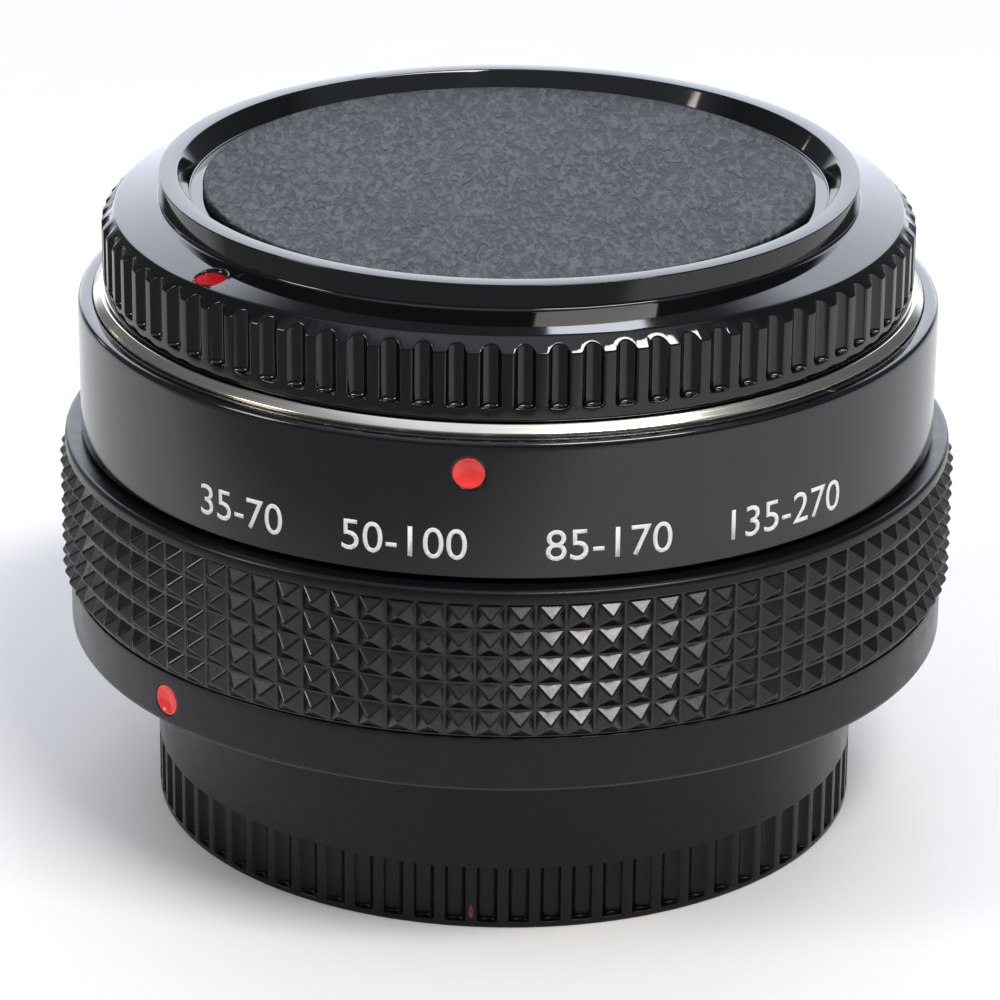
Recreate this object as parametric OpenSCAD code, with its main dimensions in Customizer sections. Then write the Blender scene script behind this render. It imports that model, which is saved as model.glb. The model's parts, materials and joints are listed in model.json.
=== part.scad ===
// Tele converter for a reflex camera with a breech-lock lens mount. It stands on
// its rear cap, with the body cap turned onto its front mount. Millimetres.
// +Z runs along the optical axis towards the front, and the origin is the middle
// of the rear cap's base. An azimuth is measured from -Y, the index mark's side,
// towards +X.

/* [Front mount] */
// Diameter of the clear throat
throat_d = 48; // [47:0.25:49]
// Wall of the spigot that carries the bayonet lugs
spigot_wall = 1.4; // [1.2:0.1:1.8]
// Height of the spigot above the flange
spigot_h = 3.2; // [3.1:0.05:3.6]
// How far the bayonet lugs stand out from the spigot
front_lug_depth = 1.8; // [1.5:0.1:2.1]
// Thickness of the bayonet lugs
front_lug_t = 1.25; // [1.1:0.05:1.35]
// Width of the flange around the spigot
flange_w = 4.2; // [4:0.1:5]
// Thickness of the flange
flange_t = 1.2; // [1.1:0.05:1.6]
// How far the flange stands above the barrel
flange_proud = 0.7; // [0.1:0.05:0.9]
// Screws that hold the flange
front_screw_count = 5; // [4:1:6]
// Angle that one lug covers, on both mounts
lug_angle = 40; // [34:1:42]

/* [Barrel] */
// Height of the barrel sleeve
barrel_h = 9.75; // [9:0.05:13]
// Wall of the barrel sleeve
barrel_wall = 1.02; // [0.8:0.02:1.6]
// Open gap between the barrel and the lock ring
ring_gap = 0.4; // [0.3:0.05:1]
// Diameter of an index dot
dot_d = 2.2; // [1.8:0.1:2.4]
// Depth of a dot's hollow face
dot_hollow = 0.35; // [0.2:0.05:0.5]
// Depth of the barrel's dot below the barrel's top edge
barrel_dot_drop = 2.25; // [1.8:0.05:4]

/* [Lock ring] */
// Wall of the lock ring under the grip band
lock_wall = 1.07; // [0.9:0.01:1.6]
// Height of the plain skirt below the grip
lock_skirt_h = 4.1; // [3.7:0.05:5]
// Height of the lip above the grip
lock_lip_h = 0.9; // [0.4:0.05:1.2]
// How far the skirt lies inside the tips of the grip
skirt_inset = 0.6; // [0.2:0.05:0.8]
// Thickness of the ring's inward lugs
lock_lug_t = 1.3; // [1.1:0.05:1.5]
// Angle from locked to open
lock_turn = 43; // [42:1:46]
// Height of the ring's dot above the ring's bottom edge
lock_dot_rise = 2; // [1.3:0.05:2.4]

/* [Grip] */
// Height of the grip band
grip_h = 9.7; // [8:0.1:12]
// Rows of pyramids
grip_rows = 5; // [3:1:7]
// Pyramids around the band
grip_columns = 98; // [72:1:110]
// Height of one pyramid
pyramid_h = 0.75; // [0.4:0.05:0.9]
// Wall of the band under the pyramids
grip_band_wall = 0.7; // [0.4:0.05:0.8]

/* [Front cap] */
// Wall of the cap's skirt
front_cap_wall = 1.28; // [1.2:0.02:1.6]
// Height of the skirt up to its chamfer
front_skirt_h = 4.75; // [4.6:0.05:6]
// Chamfer between skirt and shoulder
front_chamfer = 0.92; // [0.7:0.02:1.1]
// How far the shoulder climbs from the chamfer to the rim
shoulder_rise = 0.74; // [0.4:0.02:1]
// Flutes around the skirt
front_flute_count = 80; // [60:1:90]
// Width of a flute at the skirt's surface
flute_w = 1.5; // [1:0.05:1.6]
// Depth of a flute
flute_depth = 0.55; // [0.3:0.05:0.6]
// Plain band below the flutes
front_band_h = 0.9; // [0.8:0.02:1.6]
// Outside diameter of the raised rim
rim_d = 49.6; // [46:0.1:51]
// Wall of the raised rim
rim_wall = 1.42; // [1.2:0.02:1.8]
// Height of the rim above the shoulder
rim_h = 1.72; // [1.4:0.02:2.2]
// Depth of the recess inside the rim
recess_depth = 1.34; // [1.1:0.02:1.7]
// Thickness of the cap's floor
front_floor_t = 2; // [1.8:0.05:2.4]
// Width of the recess's floor that shows around the textured inlay disc
inlay_margin = 1.68; // [1.3:0.02:4]
// Thickness of the inlay disc at its edge
inlay_t = 0.64; // [0.4:0.02:0.9]
// Angle from locked to open
front_cap_turn = 44; // [42:1:48]

/* [Rear cap] */
// Height of the cap below the lock ring
rear_cap_show = 13.3; // [12:0.1:18]
// Wall of the cap
rear_cap_wall = 1.68; // [1.5:0.02:2]
// Thickness of the cap's floor
rear_floor_t = 1.6; // [1.4:0.1:2.4]
// How far the cap's lugs stand out
rear_lug_depth = 2.42; // [2.2:0.02:2.6]
// Thickness of the cap's lugs
rear_lug_t = 1.05; // [0.9:0.05:1.25]
// Flutes around the cap's foot
rear_flute_count = 72; // [56:1:80]
// Height of the flutes
rear_flute_h = 4.6; // [3:0.1:7]
// Depth of the shallow recess in the base
base_recess = 0.5; // [0.3:0.05:0.8]
// Width of the foot around that recess
foot_w = 3.2; // [2.5:0.1:5]

/* [Couplers] */
// Thickness of each coupler ring
coupler_t = 2.4; // [2.2:0.05:2.6]
// Travel of the aperture coupler
aperture_turn = 24; // [15:1:30]
// Travel of the signal coupler
signal_turn = 36; // [25:1:40]
// How far the front forks stand above the web
fork_h = 7.5; // [5:0.1:9]
// How far the rear levers stand behind the rear plate
lever_reach = 6.2; // [4:0.1:8]
// Wire diameter of the return springs
spring_wire = 0.35; // [0.3:0.01:0.4]
// Mean diameter of the springs' coils
spring_d = 1.3; // [1.2:0.02:1.4]
// Turns of each spring
spring_turns = 12; // [8:1:13]

/* [Optics] */
// Room for the couplers around the lens cell, out to the throat
coupler_room = 7; // [6.5:0.1:7.2]
// Wall of the lens cell around the front elements
cell_wall = 2; // [1.6:0.1:2.8]
// How far the cell's tail lies inside its running surface
tail_inset = 1.1; // [0.9:0.1:1.6]
// Wall of the tail around the rear elements
tail_wall = 2.6; // [2:0.1:3.2]
// Depth of the web that carries the cell below the front flange
web_depth = 10.4; // [9.5:0.1:11]
// Thickness of the web
web_t = 1.5; // [1.3:0.1:2]
// Edge thickness of the front element
front_edge_t = 3.4; // [3:0.1:4]
// Edge thickness of the second element
second_edge_t = 2.2; // [1.8:0.1:2.6]
// Edge thickness of the third element
third_edge_t = 3.2; // [2.8:0.1:3.6]
// Edge thickness of the rear element
rear_edge_t = 1.6; // [1.3:0.1:2]

/* [Hidden] */
$fn = 96;
fine_fn = 720;

// Clearances
seat_clear = 0.05;
running_clear = 0.08;
thrust_clear = 0.1;
lug_gap = 0.3;
lug_clear = 0.5;
// How far an edge stands past the lugs beside it
lug_lead = 0.15;
cap_clear = 0.4;
pocket_clear = 0.1;
pin_clear = 0.02;
coupler_play = 0.15;
slot_clear = 0.4;
slot_play = 1;
// How far a fused feature bites into its carrier, and how far a cut runs past its face
bite = 0.2;
over = 1;

// Azimuths of the marks, lugs and lever stations
barrel_mark_azimuth = -4.75;
lock_mark_azimuth = barrel_mark_azimuth - lock_turn;
front_cap_mark_azimuth = barrel_mark_azimuth - front_cap_turn;
lug_azimuth = 0;
lug_count = 3;
lug_pitch = 360 / lug_count;
// The pin stands in the sector that the rear cap's lugs never sweep
locating_pin_azimuth = lug_azimuth + (lug_pitch - lock_turn) / 2;
stop_pin_azimuth = 90;
rear_screw_count = 4;
cell_screw_count = 3;
cell_screw_azimuth = 0;
aperture_fork_azimuth = 60;
aperture_lever_azimuth = 100;
aperture_post_azimuth = 137;
aperture_hook_azimuth = 175;
signal_fork_azimuth = -120;
signal_lever_azimuth = -70;
signal_post_azimuth = -18;
signal_hook_azimuth = 20;

// Radii, from the throat outwards
throat_r = throat_d / 2;
spigot_r = throat_r + spigot_wall;
front_lug_r = spigot_r + front_lug_depth;
front_cap_bore_r = front_lug_r + cap_clear;
front_cap_r = front_cap_bore_r + front_cap_wall;
front_cap_lug_r = spigot_r + lug_gap;
journal_r = spigot_r + flange_w;
barrel_bore_r = journal_r + seat_clear;
barrel_r = barrel_bore_r + barrel_wall;
lock_bore_r = journal_r + running_clear;
pocket_r = lock_bore_r + lock_wall;
band_bore_r = pocket_r + seat_clear;
pyramid_base_r = band_bore_r + grip_band_wall;
grip_r = pyramid_base_r + pyramid_h;
lock_skirt_r = grip_r - skirt_inset;
lip_step = 0.2;
lip_r = lock_skirt_r + lip_step;
rim_r = rim_d / 2;
recess_r = rim_r - rim_wall;
inlay_r = recess_r - inlay_margin;

// Radii of the rear cap and of what it turns in
rear_cap_bore_r = throat_r - bite;
rear_cap_r = rear_cap_bore_r + rear_cap_wall;
rear_lug_r = rear_cap_r + rear_lug_depth;
rear_bore_r = rear_lug_r + lug_clear;
lock_lug_r = rear_cap_r + lug_clear;
plate_r = rear_bore_r - cap_clear;
flange_hold = 1.6;
boss_r = plate_r - flange_hold;
lock_flange_bore_r = boss_r + running_clear;
locating_pin_r = 0.7;
locating_pin_at = boss_r + locating_pin_r;
stop_pin_r = 0.5;
stop_pin_at = boss_r + flange_hold - cap_clear;
stop_pin_set = 2;
// Angle of the stop pin itself and its play at both ends of its slot
stop_slot_spare = 2 * asin((stop_pin_r + thrust_clear) / stop_pin_at) + slot_play;

// Radii of the frame's inside, the couplers and the lens cell
boss_wall = 2.8;
frame_wall = 3.6;
chamber_low_r = boss_r - boss_wall;
chamber_r = journal_r - frame_wall;
lever_t = 1.2;
lever_out_r = chamber_low_r - 2 * slot_clear;
lever_in_r = lever_out_r - lever_t;
lever_mid_r = (lever_in_r + lever_out_r) / 2;
coupler_r = lever_in_r - 2 * slot_clear;
cell_r = throat_r - coupler_room;
coupler_bore_r = cell_r + running_clear;
hook_r = lever_out_r + slot_clear;
arm_angle = 9;
fork_angle = 7;
lever_angle = 5;
fork_notch_angle = 3;
fork_notch_depth = 3;
rib_depth = 1.1;
rib_h = 0.8;
frame_top_r = journal_r - rib_depth;
cell_flange_r = coupler_r - slot_clear;
cell_neck_r = cell_r + bite;
front_bore_r = cell_r - cell_wall;
cell_tail_r = cell_r - tail_inset;
rear_glass_bore_r = cell_tail_r - tail_wall;
ledge_w = 1;
ledge_r = rear_glass_bore_r - ledge_w;
clip_grip = 0.5;
clip_w = 1.6;

// Screws
screw_head_r = 1.3;
screw_head_h = 0.8;
screw_r = 0.85;
front_screw_len = 4;
screw_slot_w = 0.35;
screw_slot_depth = 0.35;
front_screw_at = spigot_r + screw_head_r + lug_gap;
rear_screw_at = (chamber_low_r + boss_r) / 2;
cell_screw_head_r = 1;
cell_screw_head_h = 0.6;
cell_screw_r = 0.6;
cell_screw_len = 2.4;
cell_screw_at = (cell_neck_r + cell_flange_r) / 2;
lens_pin_hole_r = 1;
lens_pin_hole_depth = 0.8;

// Heights of the lock ring and of the mount faces inside it
lock_low = rear_cap_show;
lock_lug_low = lock_low + lug_gap;
lock_lug_top = lock_lug_low + lock_lug_t;
rear_lug_low = lock_lug_top + lug_gap;
rear_lug_top = rear_lug_low + rear_lug_t;
rear_cap_top = rear_lug_top + lug_lead;
plate_low = rear_cap_top + lug_gap;
plate_t = 1;
plate_top = plate_low + plate_t;
lock_flange_t = 0.8;
lock_flange_low = plate_top + thrust_clear;
lock_flange_top = lock_flange_low + lock_flange_t;
frame_low = lock_flange_top + thrust_clear;
pocket_low = lock_low + lock_skirt_h;
grip_low = pocket_low + pocket_clear;
grip_top = grip_low + grip_h;
pocket_top = grip_top + pocket_clear;
lock_top = pocket_top + lock_lip_h;
skirt_chamfer = 0.5;
lip_chamfer = 0.15;

// Heights of the barrel and the front mount
barrel_low = lock_top + ring_gap;
barrel_top = barrel_low + barrel_h;
flange_top = barrel_top + flange_proud;
flange_low = flange_top - flange_t;
rib_low = flange_low - rib_h;
spigot_top = flange_top + spigot_h;
front_lug_top = spigot_top - lug_lead;
front_lug_low = front_lug_top - front_lug_t;
barrel_lip_round = 0.4;
flange_chamfer = 0.5;
dot_depth = 1;
dot_edge = 0.1;

// Heights of the front cap
front_cap_lug_t = 0.95;
front_cap_lug_top = front_lug_low - lug_gap;
front_cap_lug_low = front_cap_lug_top - front_cap_lug_t;
cap_foot_clear = 0.06;
front_cap_low = flange_top + cap_foot_clear;
front_chamfer_low = front_cap_low + front_skirt_h;
shoulder_edge = front_chamfer_low + front_chamfer;
rim_foot = shoulder_edge + shoulder_rise;
rim_top = rim_foot + rim_h;
recess_floor = rim_top - recess_depth;
front_cap_ceiling = recess_floor - front_floor_t;
inlay_pocket = 0.1;
inlay_low = recess_floor - inlay_pocket;
inlay_round = 0.2;
rim_round = 0.12;
cap_mark_r = 1.15;
cap_mark_depth = 0.45;
cap_mark_t = 0.2;
cap_mark_at = (rim_r + front_cap_r - front_chamfer) / 2 + cap_clear;
cap_mark_low = (rim_foot + shoulder_edge) / 2 - cap_mark_depth;

// Foot of the rear cap and the mark on the land that faces the index dot
rear_foot_chamfer = 0.25;
// Plain height above the flutes, where the wall's moulding draft begins
rear_land_h = 0.4;
rear_draft = 0.08;
rear_mark_r = 0.25;
rear_mark_depth = 0.2;
rear_mark_height = 1.35;
rear_mark_azimuth = -360 / rear_flute_count;

// Heights of the web, the couplers and the lens cell
web_top = flange_top - web_depth;
web_low = web_top - web_t;
aperture_top = web_low - coupler_play;
aperture_low = aperture_top - coupler_t;
clip_t = 0.5;
upper_clip_top = aperture_low - coupler_play;
upper_clip_low = upper_clip_top - clip_t;
signal_top = upper_clip_low - coupler_play;
signal_low = signal_top - coupler_t;
lower_clip_top = signal_low - coupler_play;
lower_clip_low = lower_clip_top - clip_t;
chamber_low = lower_clip_low - cap_clear;
fork_top = web_top + fork_h;
lever_low = plate_low - lever_reach;
rear_screw_cover = 0.6;
rear_screw_len = chamber_low - plate_low - rear_screw_cover;
hook_arm_t = 0.8;
tenon_r = 0.45;
tenon_h = 1;
spring_post_r = spring_d / 2 - spring_wire / 2 - seat_clear;
post_proud = 0.6;
aperture_spring_z = aperture_top - coupler_t / 2 + hook_arm_t / 2;
signal_spring_z = signal_top - coupler_t / 2 + hook_arm_t / 2;

// Springs
wire_sides = 6;
rings_a_turn = 8;
eye_points = 6;
eye_lead = 1.6;

// Heights inside the cell. A sag is how far a surface bulges from its edge plane.
cell_flange_t = 1.2;
ledge_t = 1.2;
second_low_sag = 1.6;
second_top_sag = 1.3;
front_low_sag = 1.4;
front_top_sag = 0.9;
third_top_sag = 0.9;
third_low_sag = 1.1;
rear_top_sag = 0.9;
rear_low_sag = 1;
retainer_t = 1.2;
retainer_w = 1.8;
spacer_w = 1.4;
spacer_t = 2.4;
ledge_top = lower_clip_top + 2 * cap_clear;
ledge_low = ledge_top - ledge_t;
front_glass_r = front_bore_r - seat_clear;
rear_glass_r = rear_glass_bore_r - seat_clear;
second_low = ledge_top + sag_inside(front_glass_r, second_low_sag, ledge_r) + seat_clear;
second_top = second_low + second_edge_t;
spacer_low = second_top + sag_inside(front_glass_r, second_top_sag, front_glass_r - spacer_w) + seat_clear;
front_low = spacer_low + spacer_t;
front_top = front_low + front_edge_t;
front_retainer_top = front_top + seat_clear + retainer_t;
cell_top = front_retainer_top + bite;
third_top = ledge_low - seat_clear;
third_low = third_top - third_edge_t;
rear_top = third_low - sag_inside(rear_glass_r, rear_top_sag, rear_glass_r - ledge_w) - seat_clear;
rear_low = rear_top - rear_edge_t;
rear_retainer_top = rear_low - sag_inside(rear_glass_r, rear_low_sag, rear_glass_r - retainer_w) - seat_clear;
rear_retainer_low = rear_retainer_top - retainer_t;
cell_low = rear_retainer_low - bite;
cell_step = lower_clip_low - cap_clear;
spanner_slot_w = 1;
spanner_slot_depth = 0.6;

// Colours
moulded_black = "#17181a";
painted_black = "#1d2022";
casting_black = "#2a2c2e";
chrome = "#c9ccd0";
steel = "#9a9da1";
inlay_grey = "#4a4c4f";
mark_red = "#e0302c";
dull_red = "#6b2a30";
glass_tint = "#a9c3cf";

function heading(azimuth) = azimuth - 90;
function sphere_radius(rim, sag) = (rim * rim + sag * sag) / (2 * sag);
function sag_inside(rim, sag, r) =
    sqrt(pow(sphere_radius(rim, sag), 2) - r * r) - sqrt(pow(sphere_radius(rim, sag), 2) - rim * rim);
function on_circle(azimuth, radius, height) =
    [radius * cos(heading(azimuth)), radius * sin(heading(azimuth)), height];

// Places a shape at an azimuth, with its X axis pointing outwards
module at(azimuth, radius, height) {
    rotate(heading(azimuth)) translate([radius, 0, height]) children();
}

module ring(r_in, r_out, low, top) {
    rotate_extrude() translate([r_in, low]) square([r_out - r_in, top - low]);
}

// Ring, or disc, whose outer upper edge is rounded
module lipped_ring(r_in, r_out, low, top, lip) {
    rotate_extrude() {
        translate([r_in, low]) square([r_out - r_in, top - low - lip]);
        translate([r_in, low]) square([r_out - r_in - lip, top - low]);
        translate([r_out - lip, top - lip]) circle(r = lip);
    }
}

module ring_sector(r_in, r_out, low, top, middle, angle) {
    rotate(heading(middle) - angle / 2)
        rotate_extrude(angle = angle) translate([r_in, low]) square([r_out - r_in, top - low]);
}

// Arc that a part of its own angle sweeps when it turns, with play at both ends
module swept_slot(low, top, start, turn, angle) {
    swept = turn + angle + 2 * slot_play;
    ring_sector(lever_in_r - slot_clear, lever_out_r + slot_clear, low, top, start + turn / 2, swept);
}

module lugs(r_in, r_out, low, top) {
    for (i = [0 : lug_count - 1])
        ring_sector(r_in, r_out, low, top, lug_azimuth + i * lug_pitch, lug_angle);
}

// Round-bottomed flutes around a cylinder, as the solid to cut away
module flute_cutters(count, radius, low, top) {
    cutter_r = (flute_depth * flute_depth + flute_w * flute_w / 4) / (2 * flute_depth);
    for (i = [0 : count - 1])
        at((i + 0.5) * 360 / count, radius - flute_depth + cutter_r, low)
            cylinder(r = cutter_r, h = top - low);
}

// Countersunk screw with its head's face at the origin and its shank along -Z
module countersunk_screw(length) {
    difference() {
        union() {
            translate([0, 0, -screw_head_h]) cylinder(r1 = screw_r, r2 = screw_head_r, h = screw_head_h);
            translate([0, 0, -length]) cylinder(r = screw_r, h = length);
        }
        for (turn = [0, 90])
            rotate(turn) translate([-screw_head_r / 2, -screw_slot_w / 2, -screw_slot_depth])
                cube([screw_head_r, screw_slot_w, screw_slot_depth + over]);
    }
}

// Room for that screw in the plate and in what lies under it
module countersunk_hole(length) {
    fit_r = screw_r + seat_clear;
    translate([0, 0, -screw_head_h])
        cylinder(r1 = fit_r, r2 = screw_head_r + seat_clear, h = screw_head_h);
    cylinder(r = screw_head_r + seat_clear, h = over);
    translate([0, 0, -length - seat_clear]) cylinder(r = fit_r, h = length);
}

module front_screw_places() {
    for (i = [0 : front_screw_count - 1])
        at(i * 360 / front_screw_count, front_screw_at, flange_top) children();
}

module rear_screw_places() {
    for (i = [0 : rear_screw_count - 1])
        at((i + 0.5) * 360 / rear_screw_count, rear_screw_at, plate_low) rotate([180, 0, 0]) children();
}

module cell_screw_places() {
    for (i = [0 : cell_screw_count - 1])
        at(cell_screw_azimuth + i * 360 / cell_screw_count, cell_screw_at, web_top + cell_flange_t)
            children();
}

// Round plug behind the origin, with a hollow face towards +X inside a narrow flat edge
module dot(depth) {
    hollow_r = sphere_radius(dot_d / 2 - dot_edge, dot_hollow);
    rotate([0, 90, 0]) rotate_extrude() difference() {
        translate([0, -depth]) square([dot_d / 2, depth]);
        translate([0, hollow_r - dot_hollow]) circle(r = hollow_r, $fn = fine_fn);
    }
}

module dot_hole(depth) {
    translate([-depth, 0, 0]) rotate([0, 90, 0]) cylinder(r = dot_d / 2 + pin_clear, h = depth + over);
}

// Frame
module body_frame() {
    color(casting_black) {
        difference() {
            rotate_extrude() polygon([
                [chamber_low_r, plate_top], [boss_r, plate_top], [boss_r, frame_low], [journal_r, frame_low],
                [journal_r, rib_low], [frame_top_r, rib_low], [frame_top_r, flange_low],
                [throat_r, flange_low], [throat_r, web_top], [cell_r + seat_clear, web_top],
                [cell_r + seat_clear, web_low], [chamber_r, web_low], [chamber_r, chamber_low],
                [chamber_low_r, chamber_low]
            ]);
            front_screw_places() countersunk_hole(front_screw_len);
            rear_screw_places() countersunk_hole(rear_screw_len);
            cell_screw_places()
                translate([0, 0, -cell_screw_len - seat_clear])
                    cylinder(r = cell_screw_r + seat_clear, h = cell_screw_len);
            swept_slot(web_low - over, web_top + over, aperture_fork_azimuth, aperture_turn, fork_angle);
            swept_slot(web_low - over, web_top + over, signal_fork_azimuth, signal_turn, fork_angle);
            at(stop_pin_azimuth, stop_pin_at, frame_low - over)
                cylinder(r = stop_pin_r + pin_clear, h = stop_pin_set + over);
        }
        spring_post(aperture_post_azimuth, aperture_spring_z);
        spring_post(signal_post_azimuth, signal_spring_z);
    }
}

module spring_post(azimuth, spring_z) {
    low = spring_z - post_proud;
    at(azimuth, hook_r, low) cylinder(r = spring_post_r, h = web_low + bite - low);
}

module barrel_sleeve() {
    color(painted_black) difference() {
        union() {
            lipped_ring(barrel_bore_r, barrel_r, barrel_low, barrel_top, barrel_lip_round);
            ring(frame_top_r + seat_clear, barrel_bore_r + bite, rib_low, flange_low);
        }
        at(barrel_mark_azimuth, barrel_r, barrel_top - barrel_dot_drop) dot_hole(barrel_wall + over);
    }
}

module index_dot() {
    color(mark_red)
        at(barrel_mark_azimuth, barrel_r, barrel_top - barrel_dot_drop) dot(barrel_wall);
}

// Front mount
module front_mount() {
    color(chrome) difference() {
        union() {
            rotate_extrude() polygon([
                [throat_r, flange_low], [journal_r, flange_low], [journal_r, flange_top - flange_chamfer],
                [journal_r - flange_chamfer, flange_top], [throat_r, flange_top]
            ]);
            ring(throat_r, spigot_r, flange_low, spigot_top);
            lugs(spigot_r - bite, front_lug_r, front_lug_low, front_lug_top);
        }
        front_screw_places() countersunk_hole(front_screw_len);
        at(180, front_screw_at, flange_top - lens_pin_hole_depth)
            cylinder(r = lens_pin_hole_r, h = lens_pin_hole_depth + over);
    }
}

module front_mount_screws() {
    color(steel) front_screw_places() countersunk_screw(front_screw_len);
}

// Rear mount
module rear_mount() {
    color(chrome) difference() {
        ring(cell_tail_r + cap_clear, plate_r, plate_low, plate_top);
        rear_screw_places() countersunk_hole(rear_screw_len);
        swept_slot(plate_low - over, plate_top + over, aperture_lever_azimuth, aperture_turn, lever_angle);
        swept_slot(plate_low - over, plate_top + over, signal_lever_azimuth, signal_turn, lever_angle);
        at(locating_pin_azimuth, locating_pin_at, plate_low - over)
            cylinder(r = locating_pin_r + pin_clear, h = plate_t + 2 * over);
    }
}

module rear_mount_screws() {
    color(steel) rear_screw_places() countersunk_screw(rear_screw_len);
}

module locating_pin() {
    tip = rear_lug_low + lug_gap;
    color(steel) at(locating_pin_azimuth, locating_pin_at, tip)
        cylinder(r = locating_pin_r, h = plate_top - tip);
}

module lock_stop_pin() {
    color(steel) at(stop_pin_azimuth, stop_pin_at, lock_flange_low)
        cylinder(r = stop_pin_r, h = frame_low + stop_pin_set - lock_flange_low);
}

// Lens cell and glass
module lens_cell() {
    color(painted_black) difference() {
        rotate_extrude() polygon([
            [rear_glass_bore_r, cell_low], [cell_tail_r, cell_low], [cell_tail_r, cell_step],
            [cell_r, cell_step], [cell_r, web_top], [cell_flange_r, web_top],
            [cell_flange_r, web_top + cell_flange_t], [cell_neck_r, web_top + cell_flange_t],
            [cell_neck_r, cell_top], [front_bore_r, cell_top], [front_bore_r, ledge_top],
            [ledge_r, ledge_top], [ledge_r, ledge_low], [rear_glass_bore_r, ledge_low]
        ]);
        clip_groove(upper_clip_low, upper_clip_top);
        clip_groove(lower_clip_low, lower_clip_top);
        cell_screw_places()
            translate([0, 0, -cell_screw_len])
                cylinder(r = cell_screw_r + seat_clear, h = cell_screw_len + over);
    }
}

module clip_groove(low, top) {
    ring(cell_r - clip_grip - seat_clear, cell_r + over, low - seat_clear, top + seat_clear);
}

// Open snap ring that sits in a groove of the cell
module snap_ring(low, top, gap_azimuth) {
    gap = 30;
    ring_sector(cell_r - clip_grip, cell_r - clip_grip + clip_w, low, top, gap_azimuth + 180, 360 - gap);
}

module upper_clip() {
    color(steel) snap_ring(upper_clip_low, upper_clip_top, 0);
}

module lower_clip() {
    color(steel) snap_ring(lower_clip_low, lower_clip_top, 180);
}

module cell_screws() {
    color(steel) cell_screw_places() difference() {
        union() {
            cylinder(r = cell_screw_head_r, h = cell_screw_head_h);
            translate([0, 0, -cell_screw_len]) cylinder(r = cell_screw_r, h = cell_screw_len);
        }
        translate([-cell_screw_head_r - over, -screw_slot_w / 2, cell_screw_head_h - screw_slot_depth])
            cube([2 * (cell_screw_head_r + over), screw_slot_w, screw_slot_depth + over]);
    }
}

// Glass that bulges on both faces
module convex_element(rim, low, top, low_sag, top_sag) {
    low_r = sphere_radius(rim, low_sag);
    top_r = sphere_radius(rim, top_sag);
    color(glass_tint, 0.5) rotate_extrude() intersection() {
        translate([0, low - low_sag]) square([rim, top - low + low_sag + top_sag]);
        translate([0, low - low_sag + low_r]) circle(r = low_r, $fn = fine_fn);
        translate([0, top + top_sag - top_r]) circle(r = top_r, $fn = fine_fn);
    }
}

// Glass that is hollowed on both faces, with a flat margin at its edge
module concave_element(rim, low, top, low_sag, top_sag) {
    hollow = rim - ledge_w;
    low_r = sphere_radius(hollow, low_sag);
    top_r = sphere_radius(hollow, top_sag);
    color(glass_tint, 0.5) rotate_extrude() difference() {
        translate([0, low]) square([rim, top - low]);
        translate([0, low + low_sag - low_r]) circle(r = low_r, $fn = fine_fn);
        translate([0, top - top_sag + top_r]) circle(r = top_r, $fn = fine_fn);
    }
}

module front_element() {
    concave_element(front_glass_r, front_low, front_top, front_low_sag, front_top_sag);
}

module second_element() {
    convex_element(front_glass_r, second_low, second_top, second_low_sag, second_top_sag);
}

module third_element() {
    concave_element(rear_glass_r, third_low, third_top, third_low_sag, third_top_sag);
}

module rear_element() {
    convex_element(rear_glass_r, rear_low, rear_top, rear_low_sag, rear_top_sag);
}

module element_spacer() {
    color(painted_black) ring(front_glass_r - spacer_w, front_glass_r, spacer_low, front_low - seat_clear);
}

// Ring with two slots for a pin spanner
module retainer(rim, low, top, slot_low) {
    color(painted_black) difference() {
        ring(rim - retainer_w, rim, low, top);
        translate([-rim - over, -spanner_slot_w / 2, slot_low])
            cube([2 * (rim + over), spanner_slot_w, spanner_slot_depth + over]);
    }
}

module front_retainer() {
    low = front_retainer_top - retainer_t;
    retainer(front_glass_r, low, front_retainer_top, front_retainer_top - spanner_slot_depth);
}

module rear_retainer() {
    slot_low = rear_retainer_low - over;
    retainer(rear_glass_r, rear_retainer_low, rear_retainer_top, slot_low);
}

// Lock ring
module lock_ring() {
    color(moulded_black) difference() {
        union() {
            rotate_extrude() polygon([
                [rear_bore_r, lock_low], [lock_skirt_r - skirt_chamfer, lock_low],
                [lock_skirt_r, lock_low + skirt_chamfer], [lock_skirt_r, pocket_low],
                [pocket_r, pocket_low], [pocket_r, pocket_top], [lip_r, pocket_top],
                [lip_r, lock_top - lip_chamfer], [lip_r - lip_chamfer, lock_top],
                [lock_bore_r, lock_top], [lock_bore_r, lock_flange_top],
                [lock_flange_bore_r, lock_flange_top], [lock_flange_bore_r, lock_flange_low],
                [rear_bore_r, lock_flange_low]
            ]);
            lugs(lock_lug_r, rear_bore_r + bite, lock_lug_low, lock_lug_top);
        }
        at(lock_mark_azimuth, lock_skirt_r, lock_low + lock_dot_rise) dot_hole(dot_depth);
        ring_sector(stop_pin_at - stop_pin_r - thrust_clear, stop_pin_at + stop_pin_r + thrust_clear,
            lock_flange_low - bite, lock_flange_top + bite, stop_pin_azimuth - lock_turn / 2,
            lock_turn + stop_slot_spare);
    }
}

module lock_ring_dot() {
    color(mark_red)
        at(lock_mark_azimuth, lock_skirt_r, lock_low + lock_dot_rise) dot(dot_depth);
}

// Grip band: a wall of pyramids that share their base edges, bored out to sit on the ring
function grip_corner(row, column) =
    on_circle(column * 360 / grip_columns, pyramid_base_r, grip_low + row * grip_h / grip_rows);
function grip_tip(row, column) =
    on_circle((column + 0.5) * 360 / grip_columns, grip_r, grip_low + (row + 0.5) * grip_h / grip_rows);
function corner_index(row, column) = row * grip_columns + column % grip_columns;
function tip_index(row, column) = (grip_rows + 1 + row) * grip_columns + column;

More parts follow.
